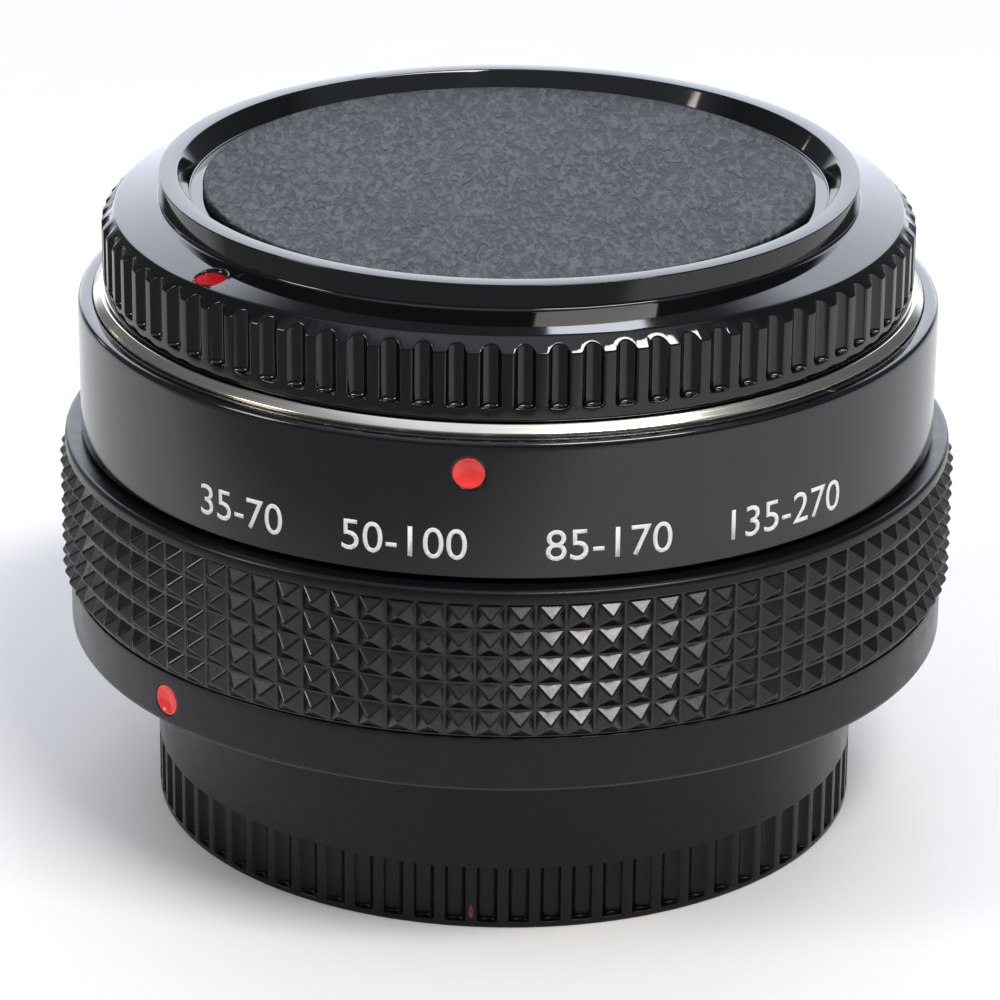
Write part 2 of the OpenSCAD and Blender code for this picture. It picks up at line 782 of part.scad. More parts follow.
module pyramid_wall() {
    corners = [for (row = [0 : grip_rows], column = [0 : grip_columns - 1]) grip_corner(row, column)];
    tips = [for (row = [0 : grip_rows - 1], column = [0 : grip_columns - 1]) grip_tip(row, column)];
    sides = [
        for (row = [0 : grip_rows - 1], column = [0 : grip_columns - 1])
            let (
                tip = tip_index(row, column),
                a = corner_index(row, column),
                b = corner_index(row, column + 1),
                c = corner_index(row + 1, column + 1),
                d = corner_index(row + 1, column)
            )
            each [[b, a, tip], [c, b, tip], [d, c, tip], [a, d, tip]]
    ];
    floor_face = [for (column = [0 : grip_columns - 1]) corner_index(0, column)];
    top_face = [for (column = [0 : grip_columns - 1]) corner_index(grip_rows, grip_columns - 1 - column)];
    polyhedron(points = concat(corners, tips), faces = concat(sides, [floor_face, top_face]));
}

module grip_band() {
    color(moulded_black) difference() {
        pyramid_wall();
        translate([0, 0, grip_low - over]) cylinder(r = band_bore_r, h = grip_h + 2 * over, $fn = fine_fn);
    }
}

// Front cap
module front_cap() {
    color(moulded_black) difference() {
        union() {
            rotate_extrude() polygon([
                [0, front_cap_ceiling], [front_cap_bore_r, front_cap_ceiling],
                [front_cap_bore_r, front_cap_low], [front_cap_r, front_cap_low],
                [front_cap_r, front_chamfer_low], [front_cap_r - front_chamfer, shoulder_edge],
                [rim_r, rim_foot], [rim_r, rim_top - rim_round], [rim_r - rim_round, rim_top],
                [recess_r + rim_round, rim_top], [recess_r, rim_top - rim_round],
                [recess_r, recess_floor], [inlay_r + cap_clear, recess_floor],
                [inlay_r + cap_clear, inlay_low], [0, inlay_low]
            ]);
            lugs(front_cap_lug_r, front_cap_bore_r + bite, front_cap_lug_low, front_cap_lug_top);
        }
        flute_cutters(front_flute_count, front_cap_r, front_cap_low + front_band_h, rim_foot);
        at(front_cap_mark_azimuth, cap_mark_at, cap_mark_low)
            cylinder(r = cap_mark_r, h = cap_mark_depth + over);
    }
}

module front_cap_inlay() {
    color(inlay_grey) lipped_ring(0, inlay_r, inlay_low, inlay_low + inlay_t, inlay_round);
}

module front_cap_mark() {
    color(mark_red) at(front_cap_mark_azimuth, cap_mark_at, cap_mark_low)
        cylinder(r = cap_mark_r - pin_clear, h = cap_mark_t);
}

// Rear cap
module rear_cap() {
    recess_r = rear_cap_r - foot_w;
    color(moulded_black) difference() {
        union() {
            rotate_extrude() polygon([
                [0, base_recess], [recess_r, base_recess], [recess_r, 0],
                [rear_cap_r - rear_foot_chamfer, 0], [rear_cap_r, rear_foot_chamfer],
                [rear_cap_r, rear_flute_h + rear_land_h], [rear_cap_r - rear_draft, rear_cap_top],
                [rear_cap_bore_r, rear_cap_top],
                [rear_cap_bore_r, base_recess + rear_floor_t], [0, base_recess + rear_floor_t]
            ]);
            lugs(rear_cap_r - bite, rear_lug_r, rear_lug_low, rear_lug_top);
        }
        flute_cutters(rear_flute_count, rear_cap_r, -over, rear_flute_h);
        at(rear_mark_azimuth, rear_cap_r - rear_mark_depth, rear_mark_height) rotate([0, 90, 0])
            cylinder(r = rear_mark_r + pin_clear, h = over);
    }
}

module rear_cap_mark() {
    color(dull_red) at(rear_mark_azimuth, rear_cap_r - rear_mark_depth, rear_mark_height)
        rotate([0, 90, 0]) cylinder(r = rear_mark_r, h = rear_mark_depth - pin_clear);
}

// Couplers: a ring that runs on the cell, with arms for its fork, its lever and its spring
module coupler_ring(low, top, fork_azimuth, lever_azimuth, hook_azimuth, spring_z) {
    arm_out = lever_out_r + bite;
    hook_out = hook_r + spring_post_r + bite;
    color(steel) difference() {
        union() {
            ring(coupler_bore_r, coupler_r, low, top);
            ring_sector(coupler_r - bite, arm_out, low, top, fork_azimuth, arm_angle);
            ring_sector(coupler_r - bite, arm_out, low, top, lever_azimuth, arm_angle);
            ring_sector(coupler_r - bite, hook_out, low, low + hook_arm_t, hook_azimuth, arm_angle);
            at(hook_azimuth, hook_r, low) cylinder(r = spring_post_r, h = spring_z + post_proud - low);
        }
        at(fork_azimuth, lever_mid_r, top - tenon_h) cylinder(r = tenon_r + pin_clear, h = tenon_h + over);
        at(lever_azimuth, lever_mid_r, low - over) cylinder(r = tenon_r + pin_clear, h = tenon_h + over);
    }
}

// Forked tab that takes the lever of the lens in front
module coupler_fork(low, azimuth) {
    color(steel) {
        difference() {
            ring_sector(lever_in_r, lever_out_r, low, fork_top, azimuth, fork_angle);
            ring_sector(lever_in_r - over, lever_out_r + over, fork_top - fork_notch_depth, fork_top + over,
                azimuth, fork_notch_angle);
        }
        at(azimuth, lever_mid_r, low - tenon_h + pin_clear) cylinder(r = tenon_r, h = tenon_h + bite);
    }
}

// Plain lever that reaches out behind the rear plate
module coupler_lever(top, azimuth) {
    color(steel) {
        ring_sector(lever_in_r, lever_out_r, lever_low, top, azimuth, lever_angle);
        at(azimuth, lever_mid_r, top - bite) cylinder(r = tenon_r, h = tenon_h + bite - pin_clear);
    }
}

module aperture_ring() {
    coupler_ring(aperture_low, aperture_top, aperture_fork_azimuth, aperture_lever_azimuth,
        aperture_hook_azimuth, aperture_spring_z);
}

module aperture_fork() {
    coupler_fork(aperture_top, aperture_fork_azimuth);
}

module aperture_lever() {
    coupler_lever(aperture_low, aperture_lever_azimuth);
}

module signal_ring() {
    coupler_ring(signal_low, signal_top, signal_fork_azimuth, signal_lever_azimuth,
        signal_hook_azimuth, signal_spring_z);
}

module signal_fork() {
    coupler_fork(signal_top, signal_fork_azimuth);
}

module signal_lever() {
    coupler_lever(signal_low, signal_lever_azimuth);
}

// Return springs: one wire that loops round a post, coils, and loops round a hook
function unit(v) = v / norm(v);
function spring_length(post_azimuth, hook_azimuth) =
    2 * hook_r * sin(abs(hook_azimuth - post_azimuth) / 2);

// Path along local X, from the post's eye at the origin to the hook's eye at x = length
function spring_path(length) = let (
        mean_r = spring_d / 2,
        coil_len = length - 2 * eye_lead,
        steps = spring_turns * rings_a_turn
    ) concat(
        [for (i = [0 : eye_points]) let (a = 90 + i * 180 / eye_points) mean_r * [cos(a), sin(a), 0]],
        [for (i = [0 : steps]) let (a = i * 360 / rings_a_turn)
            [eye_lead + coil_len * i / steps, -mean_r * cos(a), mean_r * sin(a)]],
        [for (i = [0 : eye_points]) let (a = -90 + i * 180 / eye_points)
            [length, 0, 0] + mean_r * [cos(a), sin(a), 0]]
    );

function tangent(path, i) =
    unit(path[min(i + 1, len(path) - 1)] - path[max(i - 1, 0)]);

// Side vectors that turn with the path and don't twist about it
function side_vectors(path) = [
    for (
        i = 0, side = [0, 0, 1];
        i < len(path);
        i = i + 1, side = i < len(path) ? unit(side - (side * tangent(path, i)) * tangent(path, i)) : side
    ) side
];

// Least gap between points of the wire that are more than half a turn apart
function least_gap(path) = min([
    for (i = [0 : len(path) - 1], j = [i + rings_a_turn / 2 : 1 : len(path) - 1]) norm(path[i] - path[j])
]) - spring_wire;

module wire(path) {
    sides = side_vectors(path);
    count = len(path);
    points = [
        for (i = [0 : count - 1], k = [0 : wire_sides - 1])
            let (
                a = k * 360 / wire_sides,
                other = cross(tangent(path, i), sides[i])
            )
            path[i] + spring_wire / 2 * (cos(a) * sides[i] + sin(a) * other)
    ];
    walls = [
        for (i = [0 : count - 2], k = [0 : wire_sides - 1])
            let (
                a = i * wire_sides + k,
                b = i * wire_sides + (k + 1) % wire_sides,
                c = b + wire_sides,
                d = a + wire_sides
            )
            each [[a, c, b], [a, d, c]]
    ];
    first_end = [for (k = [0 : wire_sides - 1]) k];
    last_end = [for (k = [0 : wire_sides - 1]) count * wire_sides - 1 - k];
    polyhedron(points = points, faces = concat(walls, [first_end, last_end]));
}

module return_spring(post_azimuth, hook_azimuth, spring_z) {
    path = spring_path(spring_length(post_azimuth, hook_azimuth));
    echo(least_gap_in_spring = least_gap(path));
    middle = (post_azimuth + hook_azimuth) / 2;
    color(steel) translate(on_circle(post_azimuth, hook_r, spring_z)) rotate(heading(middle) + 90) wire(path);
}

module aperture_spring() {
    return_spring(aperture_post_azimuth, aperture_hook_azimuth, aperture_spring_z);
}

module signal_spring() {
    return_spring(signal_post_azimuth, signal_hook_azimuth, signal_spring_z);
}

body_frame();
barrel_sleeve();
index_dot();
front_mount();
front_mount_screws();
rear_mount();
rear_mount_screws();
locating_pin();
lock_stop_pin();
lens_cell();
cell_screws();
front_element();
second_element();
element_spacer();
front_retainer();
third_element();
rear_element();
rear_retainer();
upper_clip();
lower_clip();
aperture_spring();
signal_spring();
lock_ring();
grip_band();
lock_ring_dot();
front_cap();
front_cap_inlay();
front_cap_mark();
rear_cap();
rear_cap_mark();
aperture_ring();
aperture_fork();
aperture_lever();
signal_ring();
signal_fork();
signal_lever();
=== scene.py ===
# %% [markdown]
# # A tele converter with both caps on
#
# The part was built as solids first. This lesson loads that assembly as a fixed frame, models the pieces
# that show again with soft edges and moulded detail, and gives every piece a procedural finish. Each new
# piece takes over from its solid and rides on the same body, so it turns with the same joint.

# %% Load the shared frame
import json
import math
import bmesh
import bpy
from mathutils import Matrix, Vector


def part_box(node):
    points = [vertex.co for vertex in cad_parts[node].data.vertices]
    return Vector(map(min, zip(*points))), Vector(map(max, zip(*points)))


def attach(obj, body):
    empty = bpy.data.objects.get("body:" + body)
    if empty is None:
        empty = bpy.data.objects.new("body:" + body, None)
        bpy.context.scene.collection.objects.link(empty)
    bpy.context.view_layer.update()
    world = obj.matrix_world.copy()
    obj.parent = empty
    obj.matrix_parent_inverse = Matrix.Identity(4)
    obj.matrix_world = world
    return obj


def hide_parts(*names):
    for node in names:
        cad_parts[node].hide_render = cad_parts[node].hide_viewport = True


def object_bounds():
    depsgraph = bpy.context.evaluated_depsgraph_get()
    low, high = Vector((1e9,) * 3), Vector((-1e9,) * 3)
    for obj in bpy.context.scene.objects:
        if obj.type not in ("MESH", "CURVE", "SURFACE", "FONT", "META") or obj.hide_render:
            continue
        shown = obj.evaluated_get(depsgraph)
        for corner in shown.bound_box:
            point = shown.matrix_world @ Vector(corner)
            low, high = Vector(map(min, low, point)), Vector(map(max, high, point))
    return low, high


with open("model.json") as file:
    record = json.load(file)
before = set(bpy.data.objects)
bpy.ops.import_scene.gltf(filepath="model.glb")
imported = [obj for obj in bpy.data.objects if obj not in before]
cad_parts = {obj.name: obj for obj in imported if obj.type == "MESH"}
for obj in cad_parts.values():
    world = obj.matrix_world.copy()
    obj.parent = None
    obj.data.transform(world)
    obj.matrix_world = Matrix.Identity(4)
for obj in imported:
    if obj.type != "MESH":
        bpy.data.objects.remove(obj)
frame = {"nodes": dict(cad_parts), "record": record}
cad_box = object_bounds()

# %% [markdown]
# ## Units and places
#
# Sizes are written in millimetres and turned into metres once. Heights and outer radii could all be typed
# in, but they are read from the boxes of the solids where a box shows them, so that the pieces follow the
# frame. Azimuths run from the front of the object, the -Y side, towards +X.

# %% Units and places
FULL_TURN = math.tau
AXIS = Vector((0, 0, 1))
CENTRE = Vector((0, 0, 0))


def mm(length):
    """Millimetres in metres."""
    return length * 0.001


def low(node):
    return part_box(node)[0].z


def top(node):
    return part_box(node)[1].z


def middle_height(node):
    return (low(node) + top(node)) / 2


def outer_radius(node):
    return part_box(node)[1].x


def facing(azimuth):
    """Turn that takes the +X side to an azimuth measured from the front."""
    return Matrix.Rotation(math.radians(azimuth - 90), 4, "Z")


print("height of the part:", round(top("front_cap") * 1000, 2), "mm")

# %% [markdown]
# ## Colours and shader nodes
#
# Colours are picked as they look on a screen, and a shader wants them linear. One function turns a hex
# colour into linear values, and one adds a shader node with its settings and links. The rest are short
# recipes that several finishes share: a wandering value, a mottled tone, grit, dust, and the overlap of
# masks. Lengths in the recipes are in millimetres.

# %% Colour and shader helpers
DUST_TONE = "#8f9394"
NOISE_DETAIL = 3.0


def linear(hex_colour):
    """Screen colour such as "#202224" as linear RGBA."""
    channels = [int(hex_colour[i:i + 2], 16) / 255 for i in (1, 3, 5)]
    bent = [c / 12.92 if c <= 0.04045 else ((c + 0.055) / 1.055) ** 2.4 for c in channels]
    return (*bent, 1.0)


def add_node(tree, kind, settings=None, links=None):
    """Adds a shader node; settings name its options or sockets, links feed its sockets."""
    node = tree.nodes.new(kind)
    for name, value in (settings or {}).items():
        if isinstance(name, int) or name in node.inputs:
            node.inputs[name].default_value = value
        else:
            setattr(node, name, value)
    for name, socket in (links or {}).items():
        tree.links.new(socket, node.inputs[name])
    return node


def new_finish(name, **sockets):
    """Material with one principled shader, whose constants are set on its own sockets."""
    material = bpy.data.materials.new(name)
    material.use_nodes = True
    tree = material.node_tree
    shader = tree.nodes["Principled BSDF"]
    for socket, value in sockets.items():
        shader.inputs[socket.replace("_", " ")].default_value = value
    place = add_node(tree, "ShaderNodeTexCoord").outputs["Object"]
    return material, tree, shader, place


def uneven(tree, place, lump, lowest, highest, detail=NOISE_DETAIL, start=0.35, stop=0.65):
    """Value that wanders between two levels, in lumps that many millimetres across."""
    noise = add_node(tree, "ShaderNodeTexNoise", {"Scale": 1 / mm(lump), "Detail": detail}, {"Vector": place})
    level = add_node(tree, "ShaderNodeMapRange",
                     {"From Min": start, "From Max": stop, "To Min": lowest, "To Max": highest},
                     {"Value": noise.outputs["Fac"]})
    return level.outputs["Result"]


def mottled(tree, place, lump, dark, light):
    """Colour that wanders between two tones."""
    noise = add_node(tree, "ShaderNodeTexNoise", {"Scale": 1 / mm(lump), "Detail": NOISE_DETAIL},
                     {"Vector": place})
    tone = add_node(tree, "ShaderNodeMix", {"data_type": "RGBA", 6: linear(dark), 7: linear(light)},
                    {0: noise.outputs["Fac"]})
    return tone.outputs[2]


def gritty(tree, shader, place, lump, depth):
    """Gives the shader a bumpy face."""
    noise = add_node(tree, "ShaderNodeTexNoise", {"Scale": 1 / mm(lump), "Detail": NOISE_DETAIL},
                     {"Vector": place})
    bump = add_node(tree, "ShaderNodeBump", {"Distance": mm(depth)}, {"Height": noise.outputs["Fac"]})
    tree.links.new(bump.outputs["Normal"], shader.inputs["Normal"])


def overlap(tree, share, *others):
    """Share that is 1 only where every one of the shares is 1."""
    for other in others:
        share = add_node(tree, "ShaderNodeMath", {"operation": "MULTIPLY"}, {0: share, 1: other}).outputs[0]
    return share


def dusted(tree, place, colour, spacing, speck, share):
    """Lays scattered specks of dust over a colour; the largest measure speck."""
    cells = add_node(tree, "ShaderNodeTexVoronoi", {"Scale": 1 / mm(spacing)}, {"Vector": place})
    chance = add_node(tree, "ShaderNodeSeparateColor", links={"Color": cells.outputs["Color"]})
    reach = add_node(tree, "ShaderNodeMath", {"operation": "MULTIPLY", 1: speck / spacing / 2},
                     {0: chance.outputs["Green"]})
    near = add_node(tree, "ShaderNodeMath", {"operation": "LESS_THAN"},
                    {0: cells.outputs["Distance"], 1: reach.outputs[0]})
    picked = add_node(tree, "ShaderNodeMath", {"operation": "LESS_THAN", 1: share},
                      {0: chance.outputs["Red"]})
    specks = overlap(tree, near.outputs[0], picked.outputs[0])
    return add_node(tree, "ShaderNodeMix", {"data_type": "RGBA", 7: linear(DUST_TONE)},
                    {0: specks, 6: colour}).outputs[2]


# %% [markdown]
# ## Gloss black plastic of the front cap
#
# The front cap is moulded in ABS from a polished tool, so it mirrors the room darkly. A flat black with low
# roughness would look like glass. A faint unevenness of roughness and surface, a few millimetres across,
# gives the slightly wavy mirror of moulded plastic, and sparse specks are the dust that such a cap gathers.

# %% Gloss black plastic of the front cap
gloss_plastic, tree, shader, place = new_finish("gloss_black_abs", IOR=1.5)
tone = mottled(tree, place, 6, "#050607", "#090a0b")
tone = dusted(tree, place, tone, spacing=2.6, speck=0.15, share=0.08)
tree.links.new(tone, shader.inputs["Base Color"])
tree.links.new(uneven(tree, place, 4, 0.035, 0.065), shader.inputs["Roughness"])
gritty(tree, shader, place, lump=2.5, depth=0.0008)

# %% [markdown]
# ## Grained plastic of the inlay
#
# The disc on the cap is moulded with a leather grain: short strokes about 0.4 mm wide that run together. A
# noise drawn out to three and a half times its width gives the strokes. It drives a deep bump, and the tone,
# whose lighter crests are a painted highlight where light catches the grain.

# %% Grained plastic of the inlay
STROKE_W, STROKE_SQUEEZE = mm(0.42), (1.0, 0.28, 1.0)
grained_plastic, tree, shader, place = new_finish("leather_grained_abs", Roughness=0.6, Specular_IOR_Level=0.25)
drawn = add_node(tree, "ShaderNodeMapping", {"Scale": STROKE_SQUEEZE}, {"Vector": place})
strokes = add_node(tree, "ShaderNodeTexNoise",
                   {"Scale": 1 / STROKE_W, "Detail": NOISE_DETAIL, "Distortion": 0.6},
                   {"Vector": drawn.outputs["Vector"]}).outputs["Fac"]
# The crests are painted lighter: a painted highlight on the grain.
painted_crest_highlight = add_node(tree, "ShaderNodeMapRange", {"From Min": 0.46, "From Max": 0.64}, {"Value": strokes})
tone = add_node(tree, "ShaderNodeMix", {"data_type": "RGBA", 6: linear("#1d2023"), 7: linear("#464a4f")},
                {0: painted_crest_highlight.outputs["Result"]})
patchy = add_node(tree, "ShaderNodeMix", {"data_type": "RGBA", 7: linear("#4a4f54")},
                  {0: uneven(tree, place, 5, 0.0, 0.2), 6: tone.outputs[2]})
tree.links.new(patchy.outputs[2], shader.inputs["Base Color"])
bump = add_node(tree, "ShaderNodeBump", {"Distance": mm(0.3)}, {"Height": strokes})
tree.links.new(bump.outputs["Normal"], shader.inputs["Normal"])

# %% [markdown]
# ## Black enamel of the barrel
#
# The barrel is turned aluminium with semi-gloss enamel. Enamel settles smooth, so its bump is tiny. At the
# upper edge on the right, where the rolled lip takes the light, light specks are painted: partly worn metal,
# partly painted highlight. A mask from the place and a noise picks them, and it is kept thin so that only a
# few specks appear.

# %% Black enamel of the barrel
# Upper edge on the lit right side: the specks there are partly wear, partly painted highlight.
WORN_LIT_EDGE = (("Z", top("barrel_sleeve") - mm(0.3), top("barrel_sleeve") - mm(0.15)), ("X", mm(14), mm(22)))
barrel_enamel, tree, shader, place = new_finish("black_enamel", Specular_IOR_Level=0.6)
where = add_node(tree, "ShaderNodeSeparateXYZ", links={"Vector": place})
worn_lit_edge = [add_node(tree, "ShaderNodeMapRange", {"From Min": start, "From Max": stop},
                   {"Value": where.outputs[axis]}).outputs["Result"] for axis, start, stop in WORN_LIT_EDGE]
# Light specks of dull metal, partly wear and partly a painted highlight on the lit lip.
nicks_and_painted_glints = overlap(tree, *worn_lit_edge, uneven(tree, place, 1.3, 0.0, 1.0, detail=5.0, start=0.7, stop=0.72))
tone = mottled(tree, place, 5, "#080a0b", "#0d1012")
tone = add_node(tree, "ShaderNodeMix", {"data_type": "RGBA", 7: linear("#6f6b62")},
                {0: nicks_and_painted_glints, 6: tone}).outputs[2]
tone = dusted(tree, place, tone, spacing=2.2, speck=0.14, share=0.08)
tree.links.new(tone, shader.inputs["Base Color"])
tree.links.new(uneven(tree, place, 3, 0.1, 0.14), shader.inputs["Roughness"])
gritty(tree, shader, place, lump=0.25, depth=0.002)

# %% [markdown]
# ## Satin black of the lock ring
#
# The ring is anodised aluminium, a shade more satin than the barrel. The grit that the bead blast leaves is
# far finer than a pixel, so it is drawn at 0.15 mm to show at all.

# %% Satin black of the lock ring
ring_black, tree, shader, place = new_finish("satin_black_anodised", Specular_IOR_Level=0.27)
tone = mottled(tree, place, 5, "#0b0c0e", "#111315")
tone = dusted(tree, place, tone, spacing=2.4, speck=0.14, share=0.06)
tree.links.new(tone, shader.inputs["Base Color"])
tree.links.new(uneven(tree, place, 2, 0.26, 0.33), shader.inputs["Roughness"])
gritty(tree, shader, place, lump=0.15, depth=0.003)

# %% [markdown]
# ## Moulded grip
#
# The grip is a hard rubbery plastic. Its facets are small mirrors with a soft edge, so most of its look is
# in the shape. The finish only varies the roughness, as fingers polish some facets more than others.

# %% Moulded grip
grip_plastic, tree, shader, place = new_finish("moulded_grip_plastic", Specular_IOR_Level=0.5)
tone = mottled(tree, place, 1.5, "#090a0b", "#0f1011")
tone = dusted(tree, place, tone, spacing=1.6, speck=0.18, share=0.07)
tree.links.new(tone, shader.inputs["Base Color"])
tree.links.new(uneven(tree, place, 0.8, 0.21, 0.28), shader.inputs["Roughness"])
gritty(tree, shader, place, lump=0.2, depth=0.003)

# %% [markdown]
# ## Satin black plastic of the rear cap
#
# The rear cap comes from a lightly etched tool, so it has no mirror at all, and it shows more dust than any
# other piece because it stands at the bottom.

# %% Satin black plastic of the rear cap
satin_plastic, tree, shader, place = new_finish("satin_black_abs", Specular_IOR_Level=0.25)
tone = mottled(tree, place, 4, "#060708", "#0b0c0d")
tone = dusted(tree, place, tone, spacing=2.0, speck=0.2, share=0.1)
tree.links.new(tone, shader.inputs["Base Color"])
tree.links.new(uneven(tree, place, 2.5, 0.22, 0.3), shader.inputs["Roughness"])
gritty(tree, shader, place, lump=0.2, depth=0.003)

# %% [markdown]
# ## Chromed brass of the mounts
#
# A lens mount is turned in brass and chromed. The lathe leaves fine rings around the axis. A noise that reads
# only the distance from the axis and the height draws them, so they run around the piece on any face.

# %% Chromed brass of the mounts
RING_W = 0.12
bright_chrome, tree, shader, place = new_finish("chromed_brass", Metallic=1.0)
parts = add_node(tree, "ShaderNodeSeparateXYZ", links={"Vector": place})
flat = add_node(tree, "ShaderNodeCombineXYZ", links={"X": parts.outputs["X"], "Y": parts.outputs["Y"]})
reach = add_node(tree, "ShaderNodeVectorMath", {"operation": "LENGTH"}, {0: flat.outputs[0]})
lathe = add_node(tree, "ShaderNodeCombineXYZ", links={"X": reach.outputs["Value"], "Y": parts.outputs["Z"]})
tree.links.new(mottled(tree, place, 4, "#c9c5b8", "#e2ded2"), shader.inputs["Base Color"])
tree.links.new(uneven(tree, lathe.outputs[0], RING_W, 0.12, 0.22), shader.inputs["Roughness"])

# %% [markdown]
# ## Red paints and white print
#
# The dots are filled with a glossy red enamel that pools in its hollow, the cap's mark is a thicker paint,
# and the mark at the foot has dulled. They differ only in tone and gloss, so one loop makes them. The print
# on the barrel is a matt white ink.

# %% Red paints and white print
red_finishes = {}
for name, dark, light, roughness, shine in (("red_dot_enamel", "#f73836", "#ff4a44", 0.16, 0.5),
                                            ("red_mark_paint", "#9c0408", "#c00a10", 0.25, 0.2),
                                            ("dull_red_paint", "#5a2228", "#7a3036", 0.45, 0.4)):
    red, tree, shader, place = new_finish(name, Roughness=roughness, Specular_IOR_Level=shine)
    tree.links.new(mottled(tree, place, 0.4, dark, light), shader.inputs["Base Color"])
    gritty(tree, shader, place, lump=0.5, depth=0.006)
    red_finishes[name] = red
white_print, tree, shader, place = new_finish("white_print_ink", Roughness=0.6)
tree.links.new(mottled(tree, place, 0.3, "#f0f2f2", "#fbfcfc"), shader.inputs["Base Color"])
print("red finishes:", list(red_finishes))

# %% [markdown]
# ## Finishes inside
#
# Little of the inside shows while the caps are on, but the part may be opened. Castings are matt, the lens
# cell is anodised, and steel and brass keep the soft streaks of turning.

# %% Finishes inside
SMOOTHEST, ROUGHEST = 0.85, 1.15
inner_finishes = {}
for name, dark, light, metal, roughness, lump in (
        ("matt_black_casting", "#101112", "#191a1b", 0.0, 0.7, 0.4),
        ("black_anodised_aluminium", "#0d0e10", "#15171a", 0.0, 0.45, 0.6),
        ("bright_steel", "#a9abad", "#c2c4c6", 1.0, 0.3, 0.5),
        ("turned_brass", "#b08a45", "#c9a35c", 1.0, 0.32, 0.5)):
    finish, tree, shader, place = new_finish(name, Metallic=metal)
    tree.links.new(mottled(tree, place, lump, dark, light), shader.inputs["Base Color"])
    tree.links.new(uneven(tree, place, lump, roughness * SMOOTHEST, roughness * ROUGHEST),
                   shader.inputs["Roughness"])
    gritty(tree, shader, place, lump, depth=0.005)
    inner_finishes[name] = finish
coated_glass, tree, shader, place = new_finish("coated_optical_glass", IOR=1.62, Transmission_Weight=1.0)
tree.links.new(mottled(tree, place, 8, "#f4f8f6", "#fbfdfc"), shader.inputs["Base Color"])
tree.links.new(uneven(tree, place, 3, 0.0, 0.03), shader.inputs["Roughness"])
print("inner finishes:", list(inner_finishes))

# %% [markdown]
# ## How a turned piece is made
#
# A turned piece could be a stack of cylinders, but then every edge would be knife sharp. Here it starts as
# the flat half of its cross-section. The corners of that face are rounded by a vertex bevel, each by its own
# radius, and the outline is spun around the axis.

# %% Tools for turned pieces
ROUND_SEGMENTS = 4
TURN_STEPS = 300
MERGE = mm(0.002)
HAIR = mm(0.0001)
LUGS, LUG_START, LUG_ARC, LUG_STEPS = 3, -20, 40, 24


def rounded_outline(corners):
    """Points of a flat outline, from the first corner on; corners are (across, up, rounding)."""
    flat = bmesh.new()
    marks = [flat.verts.new((across, 0, up)) for across, up, _ in corners]
    flat.faces.new(marks)
    for mark, (_, _, rounding) in zip(marks, corners):
        if rounding:
            bmesh.ops.bevel(flat, geom=[mark], offset=rounding, offset_type="OFFSET", affect="VERTICES",
                            segments=ROUND_SEGMENTS, profile=0.5, material=-1)
    points = [(vert.co.x, vert.co.z) for vert in flat.faces[:][0].verts]
    flat.free()
    first = min(range(len(points)), key=lambda i: math.dist(points[i], corners[0][:2]))
    return points[first:] + points[:first]


def spin_outline(bm, corners, steps=TURN_STEPS):
    """Spins a closed outline into a ring; an outline that meets the axis closes there."""
    points = [bm.verts.new((radius, 0, height)) for radius, height in rounded_outline(corners)]
    edges = [bm.edges.new(pair) for pair in zip(points, points[1:] + points[:1])]
    bmesh.ops.spin(bm, geom=points + edges, cent=CENTRE, axis=AXIS, angle=FULL_TURN, steps=steps, use_merge=True)
    bmesh.ops.remove_doubles(bm, verts=bm.verts[:], dist=MERGE)


def lug_ring(bm, inner, outer, bottom, upper):
    """Three bayonet lugs: upright faces, each spun through its arc."""
    corners = [(inner, bottom), (outer, bottom), (outer, upper), (inner, upper)]
    for i in range(LUGS):
        turn = facing(LUG_START + 360 / LUGS * i)
        face = bm.faces.new([bm.verts.new(turn @ Vector((radius, 0, height))) for radius, height in corners])
        bmesh.ops.spin(bm, geom=[face], cent=CENTRE, axis=AXIS, angle=math.radians(LUG_ARC), steps=LUG_STEPS)


def new_edges_and_verts(made):
    """Splits what an operator returns into its edges and its vertices."""
    edges = [item for item in made if isinstance(item, bmesh.types.BMEdge)]
    return edges, [item for item in made if isinstance(item, bmesh.types.BMVert)]


def make_piece(bm, name, finish, body, nodes=(), crease=180):
    """Cleans the mesh and lets it take over from its solids; bends of more than crease degrees stay sharp."""
    bmesh.ops.remove_doubles(bm, verts=bm.verts[:], dist=MERGE)
    bmesh.ops.dissolve_degenerate(bm, edges=bm.edges[:], dist=MERGE / 2)
    bmesh.ops.recalc_face_normals(bm, faces=bm.faces[:])
    for face in bm.faces:
        face.smooth = True
    for edge in bm.edges:
        edge.smooth = edge.calc_face_angle(0) < math.radians(crease)
    mesh = bpy.data.meshes.new(name)
    bm.to_mesh(mesh)
    bm.free()
    mesh.materials.append(finish)
    piece = bpy.data.objects.new(name, mesh)
    bpy.context.collection.objects.link(piece)
    piece.modifiers.new("even_normals", "WEIGHTED_NORMAL").keep_sharp = True
    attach(piece, body)
    if nodes:
        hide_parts(*nodes)
    print(name, "faces:", len(mesh.polygons))
    return piece


# %% [markdown]
# ## Round seats for the marks
#
# Each red mark lies in a round seat that is sunk into a curved wall. A boolean would cut it, but would leave
# long thin triangles that spoil the reflections. Here a block of faces is taken out, a circle with as many
# points as the block's rim is bridged to it, the new patch is laid back onto the wall, and the seat grows
# from the circle row by row.

# %% Tool for round seats
SEAT_HALF = mm(1.6)
SEAT_SKIN = mm(0.3)
PATCH_CUTS = 3
RIM_CUTS = 4
FINE_RIM = 40


